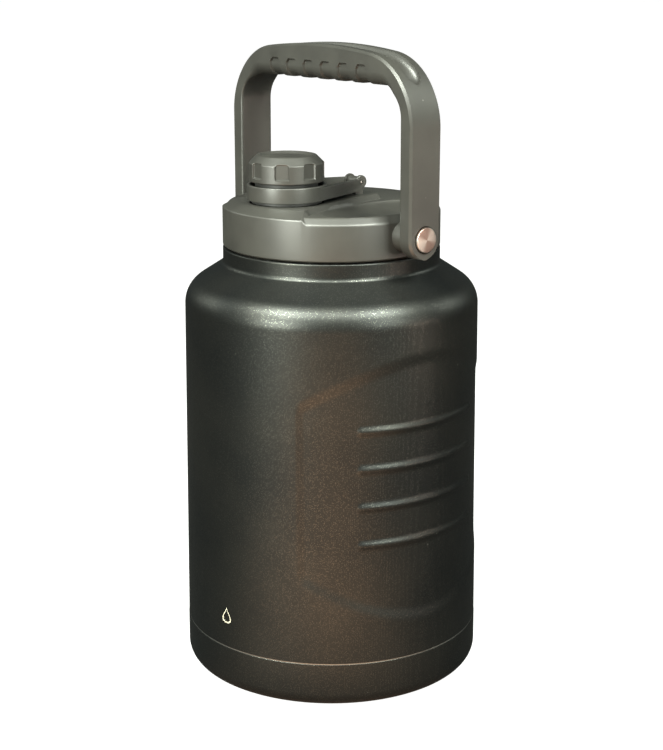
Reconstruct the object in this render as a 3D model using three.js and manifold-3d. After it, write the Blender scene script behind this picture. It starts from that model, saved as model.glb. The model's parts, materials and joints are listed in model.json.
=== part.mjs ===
// Large insulated water jug. Millimetres, +Z up, origin at the centre of the foot, spout towards -Y,
// handle pivots along the X axis.
import * as THREE from "three";
import { mergeVertices } from "three/addons/utils/BufferGeometryUtils.js";
import Module from "manifold-3d";

const wasm = await Module();
wasm.setup();

// ---------------------------------------------------------------- driving dimensions
const GAP = 0.3; // clearance between pieces that touch
const RUN = 0.6; // clearance round what turns
const PAST = 1; // how far a cutting shape runs past what it cuts
const FINE = 40; // sides of a large circle
const COARSE = 24; // sides of a small one

// Body
const BODY_R = 80.2; // outer radius at the base
const WALL_DRAFT = 1.1; // how much narrower the wall is at the shoulder
const SHEET = 1.2; // steel wall
const VACUUM = 3.5; // space between the two walls
const RIM_Z = 232; // top of the neck
const RIM_ROUND = 1.5; // rounding of the neck's top edge
const NECK_R = 58.4;
const NECK_HEIGHT = 6.84; // rim down to the fillet at the foot of the neck
const NECK_FILLET = 3;
const SHOULDER_R = 16; // rounding of the shoulder
const SHOULDER_TURN = THREE.MathUtils.degToRad(57);
const SEAM_Z = 25.6; // where the shell ends and the base cup begins
const SEAM_WIDTH = 0.5;
const BASE_CORNER_R = 8.2;
const BASE_LIFT = 0.6; // floor to the base cup
const LINER_FLOOR_Z = 8;
const LINER_CORNER_R = 10;

// Grip panels and ribs
const PANEL_DEPTH = 0.9;
const PANEL_HEAD = 12.4; // from the top of a panel to the shoulder
const PANEL_FOOT = 18.4; // from the seam to the bottom of a panel
const PANEL_RISE = 23.9; // of its arched top and bottom
const PANEL_HALF_WIDTH = 63.5; // across, seen from the side
const RIB_COUNT = 4;
const RIB_PITCH = 20.2;
const RIB_RAISE = 3; // of the middle of the ribs, above the middle of the panel
const RIB_WIDTH = 3.6;
const RIB_FLAT = 1.44; // width of a rib's flat crest
const RIB_HEIGHT = 0.9;
const RIB_HALF_SPAN = 40;

// Foot, getter and vacuum port
const PAD_IN_R = 44;
const PAD_OUT_R = 62;
const PAD_THICK = 2.2;
const PORT_R = 3;
const GETTER_R = 9;
const GETTER_H = 2.6;
const GETTER_WALL = 1;

// Lid
const LID_GAP = 0.8; // line between the neck and the lid
const LID_WALL = 3;
const LID_BEVEL = 0.8; // round its lower edge
const SIDE_HEIGHT = 19; // of the lid's side, at the back
const BACK_RISE = 3.7; // from the side up to the top, at the back
const BACK_INSET = 3.4;
const FRONT_STEP = 2.4; // how much higher the side is at the front
const FRONT_RISE = 4;
const FRONT_INSET = 7.4;
const FRONT_HALF_WIDTH = 35.5; // of the high front, at the side
const SPINE_HALF_WIDTH = 12.5;
const SPINE_CHAMFER = 2.4;
const SPINE_TAIL = 13.4; // from the hinge to the spine's back end
const DISH_DEPTH = 5.2;
const DISH_DROP = 2; // from the lid's top to the dish's widest level
const DISH_TO_SPINE = 4;
const DISH_TO_SIDE = 3.9;
const DISH_TO_BACK = 9.4;
const DISH_TO_FRONT = 23.4;
const DISH_TURN = THREE.MathUtils.degToRad(3);

// Plug, seals and threads under the lid
const PLUG_WALL = 2.2;
const PLUG_FLOOR = 2.5;
const PLUG_REACH = 20; // down into the neck
const FLANGE_THICK = 2.2;
const GASKET_THICK = 1.8;
const FOAM_EDGE = 2.1; // thinnest foam, beside the spout
const THREAD_PITCH = 5;
const THREAD_WIDTH = 3.6; // at its root
const THREAD_SINK = 0.3; // how deep its root lies in the wall
const THREAD_FADE = 4; // steps over which it fades at each end
const THREAD_CLEAR = 0.5; // between the crests of a pair
const NECK_THREAD = 1; // height of the lid's and the neck's threads
const NECK_THREAD_TURNS = 1.5;
const NECK_THREAD_DROP = 14; // below the rim

// Spout and its small cap
const SPOUT_BORE_R = 10.2;
const SPOUT_WALL = 2.4;
const SPOUT_RISE = 17.3; // above the lid's top
const SPOUT_SEAL_WALL = 1.8;
const SPOUT_THREAD = 0.4;
const CORE_THREAD = 0.5;
const SPOUT_THREAD_TURNS = 1.25;
const SPOUT_THREAD_DROP = 12; // below the lip
const COLLAR_WIDTH = 1.9;
const COLLAR_THICK = 1.5;
const SEAT_DEPTH = 4; // recess in the lid round the spout
const CORE_CLEAR = 2.1; // between the spout and the cap's core
const CORE_WALL = 1.8;
const CORE_LIFT = 1; // over the spout's collar
const SEAL_THICK = 2;
const SEAL_CLEAR = 0.4; // over the spout's lip
const KEEPER_WIDTH = 1.9;
const KEEPER_THICK = 1.6;
const CAP_WALL = 3;
const CAP_DISH = 0.7;
const CAP_CONE = 4.4; // height of the sloping band at its top
const CAP_CONE_INSET = 4.9;
const POCKET_COUNT = 8;
const POCKET_WIDTH = 7;
const POCKET_DEPTH = 1.3;
const POCKET_FOOT = 2.2; // above the cap's lower edge
const POCKET_HEAD = 1.1; // above the foot of the sloping band

// Tether
const RING_OVERHANG = 1.1; // of the ring, past the cap
const RING_WALL = 1.6;
const RING_LIFT = 1.6; // over the lid
const RING_HEIGHT = 8;
const RING_TO_CAP = 1.6;
const ARM_DROP = 1; // of the arm's walls, below the ring's top
const ARM_FLOOR = 2;
const ARM_REACH = 47; // spout to hinge
const HINGE_LIFT = 5; // over the ring's underside
const KNUCKLE_R = 3.6;
const KNUCKLE_HALF = 5.5; // half the hinge's length
const LEAF = 1.6;
const PIN_R = 0.8;

// Handle
const PIVOT_HEIGHT = 11.7; // over the lid's lower edge
const LEG_THICK = 8.3;
const LEG_HALF_WIDTH = 10.4;
const GRIP_HEIGHT = 76; // pivot to the underside of the grip
const GRIP_THICK = 18.7;
const CORNER_OUT_R = 37;
const CORNER_IN_R = 15.5;
const CROWN_TILT = THREE.MathUtils.degToRad(7);
const EDGE = 1.2; // chamfer
const GRIP_ROUND = 6.2;
const NOTCH_PITCH = 14.2;
const NOTCH_WIDTH = 9;
const NOTCH_DEPTH = 1.2;
const NOTCH_RISE = 10; // above the underside
const CHANNEL_HALF_WIDTH = 5;
const CHANNEL_DEPTH = 4;
const CHANNEL_START = THREE.MathUtils.degToRad(36); // on the outer corner

// Handle pivots
const BOSS_R = 8;
const BOSS_REACH = 5.8; // out from the lid's side
const BUSH_WALL = 1;
const BUSH_FLANGE = 0.9;
const BUSH_FLANGE_R = 7.5;
const SHANK_R = 3.7;
const SCREW_R = 2.3;
const HEAD_LEDGE = 1.2; // of the screw's head, past the bush
const HEAD_THICK = 1.2;
const WASHER_THICK = 0.6;
const DISC_THICK = 1.9;
const DISC_PROUD = 1.4;
const DISC_BEVEL = 0.5;
const INSERT_WALL = 1.8;
const INSERT_LENGTH = 10;
const INSERT_HOUSING = 1.8; // plastic round the insert, inside the lid

// ---------------------------------------------------------------- what follows from them
const wallTopR = BODY_R - WALL_DRAFT;
const shoulderR = Math.min(SHOULDER_R, (wallTopR - NECK_R) / (1 - Math.cos(SHOULDER_TURN)) - NECK_FILLET);
const bendsR = shoulderR + NECK_FILLET;
const slopeWidth = wallTopR - NECK_R - bendsR * (1 - Math.cos(SHOULDER_TURN));
const filletZ = RIM_Z - NECK_HEIGHT;
const shoulderZ = filletZ - bendsR * Math.sin(SHOULDER_TURN) - slopeWidth / Math.tan(SHOULDER_TURN);
const linerInset = SHEET + VACUUM;
const mouthR = NECK_R - linerInset - SHEET;

const lidR = NECK_R;
const lidBottomZ = RIM_Z + LID_GAP;
const backSideZ = lidBottomZ + SIDE_HEIGHT;
const backTopZ = backSideZ + BACK_RISE;
const frontSideZ = backSideZ + FRONT_STEP;
const lidTopZ = frontSideZ + FRONT_RISE;
const dishZ = lidTopZ - DISH_DROP;
const ceilingZ = dishZ - DISH_DEPTH - LID_WALL;
const cavityR = lidR - LID_WALL;
const seatZ = lidTopZ - SEAT_DEPTH;

const plugR = mouthR - 2 * NECK_THREAD - THREAD_CLEAR;
const plugFloorZ = RIM_Z - PLUG_REACH + PLUG_FLOOR;
const gasketLowZ = RIM_Z + GAP;
const flangeLowZ = gasketLowZ + GASKET_THICK + GAP;
const flangeTopZ = flangeLowZ + FLANGE_THICK;
const foamR = plugR - PLUG_WALL - GAP;

const spoutR = SPOUT_BORE_R + SPOUT_WALL;
const spoutSealR = spoutR + GAP + SPOUT_SEAL_WALL;
const spoutY = -(foamR - FOAM_EDGE - spoutSealR - GAP);
const spoutTopZ = lidTopZ + SPOUT_RISE;
const coreBoreR = spoutR + CORE_CLEAR;
const coreR = coreBoreR + CORE_WALL;
const keeperR = coreR + KEEPER_WIDTH;
const seatR = keeperR + RUN + GAP;
const capR = coreR + GAP + CAP_WALL;
const sealLowZ = spoutTopZ + SEAL_CLEAR;
const coreCeilingZ = sealLowZ + SEAL_THICK + GAP;
const coreTopZ = coreCeilingZ + CORE_WALL;
const capTopZ = coreTopZ + GAP + CAP_WALL;
const capSideZ = capTopZ - CAP_CONE;

const ringR = capR + RING_OVERHANG;
const ringBottomZ = lidTopZ + RING_LIFT;
const ringTopZ = ringBottomZ + RING_HEIGHT;
const capBottomZ = ringTopZ + RING_TO_CAP;
const hingeY = spoutY + ARM_REACH;
const hingeZ = ringBottomZ + HINGE_LIFT;

const pivotZ = lidBottomZ + PIVOT_HEIGHT;
const bossFaceX = lidR + BOSS_REACH;
const legInX = bossFaceX + GAP + BUSH_FLANGE + GAP;
const legOutX = legInX + LEG_THICK;
const gripUnderZ = pivotZ + GRIP_HEIGHT;
const handleTopZ = gripUnderZ + GRIP_THICK;
const bushR = SHANK_R + GAP + BUSH_WALL;
const headR = bushR + HEAD_LEDGE;
const discR = headR + GAP;
const insertR = SCREW_R + GAP + INSERT_WALL;
const insertInX = bossFaceX - INSERT_LENGTH - GAP;
const discInX = legOutX + DISC_PROUD - DISC_THICK;
const headInX = discInX - GAP - HEAD_THICK;
const washerInX = headInX - GAP - WASHER_THICK;
const recessX = washerInX - GAP; // floor of the recess in the leg

// ---------------------------------------------------------------- shape helpers
const v2 = (r, z) => new THREE.Vector2(r, z);

/** Points of an arc, from angle a to angle b. */
function arc(cr, cz, r, a, b, steps) {
  const at = (i) => a + ((b - a) * i) / steps;
  return Array.from({ length: steps + 1 }, (_, i) => v2(cr + r * Math.cos(at(i)), cz + r * Math.sin(at(i))));
}

/** Volume inside a mesh, negative when its faces point inwards. */
function signedVolume(verts, tris) {
  const at = (i) => new THREE.Vector3().fromArray(verts, 3 * i);
  let sum = 0;
  for (let i = 0; i < tris.length; i += 3) {
    sum += at(tris[i]).dot(at(tris[i + 1]).cross(at(tris[i + 2]))) / 6;
  }
  return sum;
}

/** Turns a three.js geometry into a solid that can be cut and joined, facing outwards. */
function solid(geometry) {
  const bare = geometry.index ? geometry.toNonIndexed() : geometry.clone();
  bare.deleteAttribute("normal");
  bare.deleteAttribute("uv");
  const merged = mergeVertices(bare, 1e-4);
  const verts = new Float32Array(merged.attributes.position.array);
  const index = Array.from(merged.index.array);
  const tris = [];
  for (let i = 0; i < index.length; i += 3) {
    const [a, b, c] = index.slice(i, i + 3);
    if (a !== b && b !== c && c !== a) tris.push(a, b, c);
  }
  if (signedVolume(verts, tris) < 0) tris.reverse();
  return new wasm.Manifold(new wasm.Mesh({ numProp: 3, vertProperties: verts, triVerts: new Uint32Array(tris) }));
}

/** Turns a solid back into a geometry. */
function geometryOf(body) {
  const mesh = body.getMesh();
  const geometry = new THREE.BufferGeometry();
  geometry.setAttribute("position", new THREE.BufferAttribute(new Float32Array(mesh.vertProperties), 3));
  geometry.setIndex(new THREE.BufferAttribute(new Uint32Array(mesh.triVerts), 1));
  return geometry;
}

/** A profile of (radius, height) points turned round an upright axis; it closes on itself off the axis. */
function revolve(points, sides = FINE, y = 0) {
  const onAxis = points[0].x < 1e-6 && points.at(-1).x < 1e-6;
  const closed = onAxis ? points : [...points, points[0].clone()];
  return solid(new THREE.LatheGeometry(closed, sides).rotateX(Math.PI / 2).translate(0, y, 0));
}

/** A ring with a rectangular section. */
const ring = (inner, outer, low, high, sides = FINE, y = 0) =>
  revolve([v2(inner, low), v2(outer, low), v2(outer, high), v2(inner, high)], sides, y);

/** An upright cylinder. */
const post = (r, low, high, sides = COARSE, y = 0) =>
  revolve([v2(0, low), v2(r, low), v2(r, high), v2(0, high)], sides, y);

/** A cylinder, or a cone with a second radius, along X through the point (y, z). */
const bar = (r, from, to, y, z, sides = COARSE, endR = r) =>
  solid(new THREE.CylinderGeometry(r, endR, Math.abs(to - from), sides)
    .rotateZ((Math.sign(to - from) * Math.PI) / 2).translate((from + to) / 2, y, z));

/** A box between two corners. */
const block = (x0, y0, z0, x1, y1, z1) =>
  solid(new THREE.BoxGeometry(x1 - x0, y1 - y0, z1 - z0).translate((x0 + x1) / 2, (y0 + y1) / 2, (z0 + z1) / 2));

/** An outline in plan, from one height to another, with its top and bottom edges chamfered if a size is given. */
function prism(points, low, high, chamfer = 0) {
  const bevel = { bevelEnabled: chamfer > 0, bevelSize: chamfer, bevelThickness: chamfer, bevelOffset: -chamfer,
    bevelSegments: 1 };
  const depth = high - low - 2 * chamfer;
  return solid(new THREE.ExtrudeGeometry(new THREE.Shape(points), { depth, ...bevel }).translate(0, 0, low + chamfer));
}

/** An outline seen from the side (y, z), between two x values. */
function sidePrism(points, from, to) {
  const geometry = new THREE.ExtrudeGeometry(new THREE.Shape(points), { depth: to - from, bevelEnabled: false });
  return solid(geometry.rotateX(Math.PI / 2).rotateZ(Math.PI / 2).translate(from, 0, 0));
}

/** A closed surface through rings of points that all have the same count. */
function loft(rings) {
  const count = rings[0].length;
  const verts = rings.flat().flatMap((p) => [p.x, p.y, p.z]);
  const tris = [];
  for (let i = 0; i + 1 < rings.length; i++) {
    for (let j = 0; j < count; j++) {
      const a = i * count + j;
      const b = i * count + ((j + 1) % count);
      tris.push(a, b, a + count, b, b + count, a + count);
    }
  }
  const last = (rings.length - 1) * count;
  for (let j = 1; j + 1 < count; j++) tris.push(0, j + 1, j, last, last + j, last + j + 1);
  const geometry = new THREE.BufferGeometry();
  geometry.setAttribute("position", new THREE.BufferAttribute(new Float32Array(verts), 3));
  geometry.setIndex(tris);
  return solid(geometry);
}

/** A thread ridge: a blunt section that climbs round an upright axis and fades at both ends. */
function thread(rootR, height, startZ, turns, y = 0) {
  const steps = Math.round(turns * COARSE);
  const sunkR = rootR - Math.sign(height) * THREAD_SINK;
  const rings = Array.from({ length: steps + 1 }, (_, i) => {
    const angle = (2 * Math.PI * i) / COARSE;
    const z = startZ + (THREAD_PITCH * i) / COARSE;
    const fade = Math.min(1, (i + 0.5) / THREAD_FADE, (steps - i + 0.5) / THREAD_FADE);
    const crestR = rootR + height * fade;
    const at = (r, dz) => new THREE.Vector3(r * Math.cos(angle), y + r * Math.sin(angle), z + dz);
    const half = THREAD_WIDTH / 2;
    return [at(sunkR, -half), at(crestR, -half / 2), at(crestR, half / 2), at(sunkR, half)];
  });
  return loft(rings);
}

const group = new THREE.Group();

/** Adds one finished piece to the jug. */
function add(name, body, finish) {
  const mesh = new THREE.Mesh(geometryOf(body), new THREE.MeshStandardMaterial(finish));
  mesh.name = name;
  group.add(mesh);
}

const POWDER = { color: 0x2c2f2f, roughness: 0.55, metalness: 0.35 };
const STEEL = { color: 0xb8b6b0, roughness: 0.3, metalness: 1 };
const PLASTIC = { color: 0x4a4a45, roughness: 0.5, metalness: 0.15 };
const INNER_PLASTIC = { color: 0x2a2a29, roughness: 0.6, metalness: 0 };
const SILICONE = { color: 0xd8d8d2, roughness: 0.6, metalness: 0 };
const RUBBER = { color: 0x1a1a1a, roughness: 0.8, metalness: 0 };
const FOAM = { color: 0xe9e6da, roughness: 0.95, metalness: 0 };
const BRASS = { color: 0xb08d4a, roughness: 0.35, metalness: 1 };

// ---------------------------------------------------------------- body
/** The wall's outline from a low level to a high one, moved inwards by inset. */
function wallProfile(inset, low, high) {
  const slope = Math.PI + SHOULDER_TURN;
  return [
    v2(BODY_R - (WALL_DRAFT * low) / shoulderZ - inset, low),
    ...arc(wallTopR - shoulderR, shoulderZ, shoulderR - inset, 0, SHOULDER_TURN, 4),
    ...arc(NECK_R + NECK_FILLET, filletZ, NECK_FILLET + inset, slope, Math.PI, 2),
    v2(NECK_R - inset, high),
  ];
}

/** The arched outline of a grip panel, seen from the side. */
function panelOutline() {
  const top = shoulderZ - PANEL_HEAD;
  const foot = SEAM_Z + PANEL_FOOT;
  const archR = (PANEL_HALF_WIDTH ** 2 + PANEL_RISE ** 2) / (2 * PANEL_RISE);
  const reach = Math.asin(PANEL_HALF_WIDTH / archR);
  const up = Math.PI / 2;
  const steps = 8;
  return [...arc(0, top - archR, archR, up - reach, up + reach, steps),
    ...arc(0, foot + archR, archR, -up - reach, reach - up, steps)];
}

/** Everything inside the wall's outline, with the two grip panels pressed in. */
function pressedForm(inset, low, high) {
  const form = revolve([v2(0, low), ...wallProfile(inset, low, high), v2(0, high)]);
  const floorR = BODY_R - PANEL_DEPTH - inset;
  const skin = revolve([v2(floorR, 0), v2(BODY_R + PAST, 0), v2(BODY_R + PAST, shoulderZ),
    v2(floorR - WALL_DRAFT, shoulderZ)]);
  const side = sidePrism(panelOutline(), PAST, BODY_R + 2 * PAST);
  const other = sidePrism(panelOutline(), -BODY_R - 2 * PAST, -PAST);
  return form.subtract(skin.intersect(side.add(other)));
}

/** One raised rib on both panels, at a height. */
function rib(z) {
  const floorR = BODY_R - PANEL_DEPTH - (WALL_DRAFT * z) / shoulderZ;
  const inR = floorR - SHEET / 3;
  const half = RIB_WIDTH / 2;
  const crest = RIB_FLAT / 2;
  const hoop = revolve([v2(inR, z - half), v2(floorR, z - half), v2(floorR + RIB_HEIGHT, z - crest),
    v2(floorR + RIB_HEIGHT, z + crest), v2(floorR, z + half), v2(inR, z + half)]);
  return hoop.intersect(block(-BODY_R, -RIB_HALF_SPAN, z - half, BODY_R, RIB_HALF_SPAN, z + half));
}

let shell = pressedForm(0, SEAM_Z, RIM_Z);
const panelMidZ = (shoulderZ - PANEL_HEAD + SEAM_Z + PANEL_FOOT) / 2;
for (let i = 0; i < RIB_COUNT; i++) {
  shell = shell.add(rib(panelMidZ + RIB_RAISE + (i - (RIB_COUNT - 1) / 2) * RIB_PITCH));
}
const rimRoundCut = revolve([
  v2(NECK_R + PAST, RIM_Z - RIM_ROUND), v2(NECK_R + PAST, RIM_Z + PAST), v2(NECK_R - RIM_ROUND, RIM_Z + PAST),
  ...arc(NECK_R - RIM_ROUND, RIM_Z - RIM_ROUND, RIM_ROUND, Math.PI / 2, 0, 3),
]);
shell = shell.subtract(pressedForm(SHEET, SEAM_Z - PAST, RIM_Z - RIM_ROUND))
  .subtract(post(NECK_R - linerInset + GAP, RIM_Z - 2 * RIM_ROUND, RIM_Z + PAST, FINE)).subtract(rimRoundCut);
add("outer_shell", shell, POWDER);

const padSeatZ = PAD_THICK + GAP;
const cupTopZ = SEAM_Z - SEAM_WIDTH;
const cupFloorZ = padSeatZ + SHEET;
/** The base cup's form from a floor up to a level, moved inwards by inset. */
function cupForm(inset, floorZ, topZ) {
  const r = BASE_CORNER_R - inset;
  const corner = arc(BODY_R - BASE_CORNER_R, floorZ + r, r, -Math.PI / 2, 0, 3);
  return revolve([v2(0, floorZ), ...corner, v2(BODY_R - inset, topZ), v2(0, topZ)]);
}
const baseCup = cupForm(0, BASE_LIFT, cupTopZ).subtract(cupForm(SHEET, cupFloorZ, cupTopZ + PAST))
  .subtract(ring(PAD_IN_R - GAP, PAD_OUT_R + GAP, -PAST, padSeatZ))
  .subtract(post(PORT_R, -PAST, cupFloorZ + PAST));
add("base_cup", baseCup, POWDER);
add("foot_pad", ring(PAD_IN_R, PAD_OUT_R, 0, PAD_THICK), RUBBER);
add("port_seal", post(PORT_R - GAP, BASE_LIFT + GAP, cupFloorZ), SILICONE);

/** The liner's form, with a round corner at its floor. */
function linerForm(inset, floorZ, topZ) {
  const r = LINER_CORNER_R - (inset - linerInset);
  const wall = wallProfile(inset, floorZ + r, topZ);
  const corner = arc(wall[0].x - r, floorZ + r, r, -Math.PI / 2, 0, 3);
  return revolve([v2(0, floorZ), ...corner, ...wall.slice(1), v2(0, topZ)]);
}
const neckThreadZ = RIM_Z - NECK_THREAD_DROP;
const liner = linerForm(linerInset, LINER_FLOOR_Z, RIM_Z - GAP)
  .subtract(linerForm(linerInset + SHEET, LINER_FLOOR_Z + SHEET, RIM_Z + PAST))
  .add(thread(mouthR, -NECK_THREAD, neckThreadZ, NECK_THREAD_TURNS));
add("inner_liner", liner, STEEL);
const getterTopZ = LINER_FLOOR_Z - GAP;
const getter = post(GETTER_R, getterTopZ - GETTER_H, getterTopZ)
  .subtract(post(GETTER_R - GETTER_WALL, getterTopZ - GETTER_H - PAST, getterTopZ - GETTER_WALL));
add("getter_cup", getter, STEEL);

// ---------------------------------------------------------------- lid
/** The lid's outside with a given side height, top radius and top height. */
const lidForm = (sideZ, topR, topZ) => revolve([v2(0, lidBottomZ), v2(lidR - LID_BEVEL, lidBottomZ),
  v2(lidR, lidBottomZ + LID_BEVEL), v2(lidR, sideZ), v2(topR, topZ), v2(0, topZ)]);

/** The plan of the high front and of the spine that runs back from it, on one side. */
function highPlan() {
  const frontY = -Math.sqrt(lidR ** 2 - FRONT_HALF_WIDTH ** 2);
  const waist = ringR + 3;
  return [
    v2(FRONT_HALF_WIDTH + 8, frontY - 22), v2(FRONT_HALF_WIDTH, frontY), v2(FRONT_HALF_WIDTH - 7, frontY + 9),
    v2(waist, spoutY + 4), v2((waist + SPINE_HALF_WIDTH) / 2, hingeY - 20.6), v2(SPINE_HALF_WIDTH, hingeY),
    v2(SPINE_HALF_WIDTH * 0.8, hingeY + SPINE_TAIL - 3), v2(SPINE_HALF_WIDTH * 0.4, hingeY + SPINE_TAIL),
  ];
}
const plan = [...highPlan(), ...highPlan().toReversed().map((p) => v2(-p.x, p.y))];
const highPart = lidForm(frontSideZ, lidR - FRONT_INSET, lidTopZ)
  .intersect(prism(plan, lidBottomZ - 2 * SPINE_CHAMFER, lidTopZ, SPINE_CHAMFER));

/** The scooped hollow on one side of the spine: a stretched ball. */
function dish(side) {
  const inner = SPINE_HALF_WIDTH + DISH_TO_SPINE;
  const outer = lidR - DISH_TO_SIDE;
  const half = new THREE.Vector3((outer - inner) / 2, lidR - (DISH_TO_BACK + DISH_TO_FRONT) / 2, DISH_DEPTH);
  return solid(new THREE.SphereGeometry(1, COARSE, 12).scale(half.x, half.y, half.z).rotateZ(side * DISH_TURN)
    .translate((side * (outer + inner)) / 2, (DISH_TO_FRONT - DISH_TO_BACK) / 2, dishZ));
}

const earHalf = KNUCKLE_HALF - LEAF - GAP;
const earR = KNUCKLE_R - GAP;
const pinHole = bar(PIN_R + GAP, -KNUCKLE_HALF - PAST, KNUCKLE_HALF + PAST, hingeY, hingeZ, 16);
const ear = block(-earHalf, hingeY - earR, ceilingZ + LID_WALL / 2, earHalf, hingeY + earR, hingeZ)
  .add(bar(earR, -earHalf, earHalf, hingeY, hingeZ));
let lidShell = lidForm(backSideZ, lidR - BACK_INSET, backTopZ).add(highPart)
  .subtract(dish(1)).subtract(dish(-1))
  .subtract(post(cavityR, lidBottomZ - PAST, ceilingZ, FINE))
  .add(ear).subtract(pinHole)
  .subtract(post(seatR, seatZ, lidTopZ + PAST, COARSE, spoutY))
  .subtract(post(spoutR + GAP, ceilingZ - PAST, seatZ + PAST, COARSE, spoutY));
for (const side of [-1, 1]) {
  const along = (r, from, to) => bar(r, side * from, side * to, 0, pivotZ);
  lidShell = lidShell.add(along(BOSS_R, cavityR + PAST, bossFaceX))
    .add(along(insertR + INSERT_HOUSING, insertInX - INSERT_HOUSING, cavityR + PAST))
    .subtract(along(insertR + GAP, insertInX, bossFaceX + PAST));
}
add("lid_shell", lidShell, PLASTIC);

const plug = post(plugR, RIM_Z - PLUG_REACH, flangeTopZ, FINE)
  .add(post(cavityR - GAP, flangeLowZ, flangeTopZ, FINE))
  .add(thread(plugR, NECK_THREAD, neckThreadZ, NECK_THREAD_TURNS))
  .subtract(post(plugR - PLUG_WALL, plugFloorZ, flangeTopZ + PAST, FINE))
  .subtract(post(SPOUT_BORE_R, RIM_Z - PLUG_REACH - PAST, plugFloorZ + PAST, COARSE, spoutY));
add("lid_plug", plug, INNER_PLASTIC);
add("lid_gasket", ring(plugR + RUN, cavityR - RUN, gasketLowZ, gasketLowZ + GASKET_THICK), SILICONE);

const foam = post(foamR, plugFloorZ + GAP, ceilingZ - GAP, FINE)
  .subtract(post(spoutSealR + GAP, plugFloorZ, ceilingZ, COARSE, spoutY));
add("lid_foam", foam, FOAM);
const spoutFootZ = plugFloorZ + GAP;
add("spout_seal", ring(spoutR + GAP, spoutSealR, spoutFootZ, spoutFootZ + SPOUT_SEAL_WALL, COARSE, spoutY), SILICONE);

// ---------------------------------------------------------------- spout
const lipR = SPOUT_WALL / 2;
const collarZ = seatZ + GAP;
const collarTopZ = collarZ + COLLAR_THICK;
const spoutThreadZ = spoutTopZ - SPOUT_THREAD_DROP;
const spout = revolve([
  v2(SPOUT_BORE_R, spoutFootZ), v2(spoutR, spoutFootZ), v2(spoutR, collarZ), v2(spoutR + COLLAR_WIDTH, collarZ),
  v2(spoutR + COLLAR_WIDTH, collarTopZ), v2(spoutR, collarTopZ),
  ...arc(spoutR - lipR, spoutTopZ - lipR, lipR, 0, Math.PI, 6),
], COARSE, spoutY).add(thread(spoutR, SPOUT_THREAD, spoutThreadZ, SPOUT_THREAD_TURNS, spoutY));
add("spout", spout, PLASTIC);

// ---------------------------------------------------------------- small cap
const capTopR = capR - CAP_CONE_INSET;
let cap = revolve([
  v2(0, capBottomZ), v2(capR - 0.6, capBottomZ), v2(capR, capBottomZ + 0.6), v2(capR, capSideZ),
  v2(capTopR + 0.8, capTopZ - 0.4), v2(capTopR - 0.4, capTopZ), v2(capTopR - 3, capTopZ - CAP_DISH),
  v2(0, capTopZ - CAP_DISH),
], FINE, spoutY).subtract(post(capR - CAP_WALL, capBottomZ - PAST, capTopZ - CAP_WALL, COARSE, spoutY));
const pocketLowZ = capBottomZ + POCKET_FOOT;
const pocketHeight = capSideZ + POCKET_HEAD - pocketLowZ;
for (let i = 0; i < POCKET_COUNT; i++) {
  const pocket = new THREE.BoxGeometry(POCKET_WIDTH, 2 * POCKET_DEPTH, pocketHeight)
    .translate(0, -capR, pocketLowZ + pocketHeight / 2).rotateZ((2 * Math.PI * i) / POCKET_COUNT)
    .translate(0, spoutY, 0);
  cap = cap.subtract(solid(pocket));
}
add("chug_cap", cap, PLASTIC);

const coreLowZ = collarTopZ + CORE_LIFT;
const core = ring(coreBoreR, coreR, coreLowZ, coreTopZ, COARSE, spoutY)
  .add(post(coreR, coreCeilingZ, coreTopZ, COARSE, spoutY))
  .add(thread(coreBoreR, -CORE_THREAD, spoutThreadZ, SPOUT_THREAD_TURNS, spoutY));
add("cap_core", core, INNER_PLASTIC);
add("cap_gasket", post(coreBoreR - GAP, sealLowZ, sealLowZ + SEAL_THICK, COARSE, spoutY), SILICONE);
const keeperTopZ = ringBottomZ - GAP;
add("cap_keeper", ring(coreR + GAP, keeperR, keeperTopZ - KEEPER_THICK, keeperTopZ, COARSE, spoutY), INNER_PLASTIC);

// ---------------------------------------------------------------- tether
/** The arm's plan, from where it leaves the ring to the knuckle, moved inwards by inset. */
function armPlan(inset) {
  const r = ringR - inset;
  const half = KNUCKLE_HALF - inset;
  const lean = Math.asin((r - half) / ARM_REACH);
  const root = v2(r * Math.cos(lean), spoutY + r * Math.sin(lean));
  return [v2(-root.x, root.y), root, v2(half, hingeY), v2(-half, hingeY)];
}
const floorTopZ = ringBottomZ + ARM_FLOOR;
const clearWay = block(LEAF - KNUCKLE_HALF, hingeY - KNUCKLE_R - PAST, ringBottomZ - PAST,
  KNUCKLE_HALF - LEAF, hingeY + KNUCKLE_R + PAST, ringTopZ + KNUCKLE_R);
const tether = prism(armPlan(0), ringBottomZ + GAP, ringTopZ - ARM_DROP)
  .subtract(prism(armPlan(RING_WALL), floorTopZ, ringTopZ + PAST))
  .subtract(post(ringR - RING_WALL, floorTopZ, ringTopZ + PAST, COARSE, spoutY))
  .add(ring(coreR + RUN, ringR, ringBottomZ, floorTopZ, COARSE, spoutY))
  .add(ring(ringR - RING_WALL, ringR, ringBottomZ, ringTopZ, COARSE, spoutY))
  .subtract(post(coreR + RUN, ringBottomZ - PAST, floorTopZ + PAST, COARSE, spoutY))
  .add(bar(KNUCKLE_R, -KNUCKLE_HALF, KNUCKLE_HALF, hingeY, hingeZ))
  .subtract(clearWay).subtract(pinHole);
add("tether_arm", tether, PLASTIC);
add("hinge_pin", bar(PIN_R, -KNUCKLE_HALF, KNUCKLE_HALF, hingeY, hingeZ, 16), STEEL);

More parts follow.
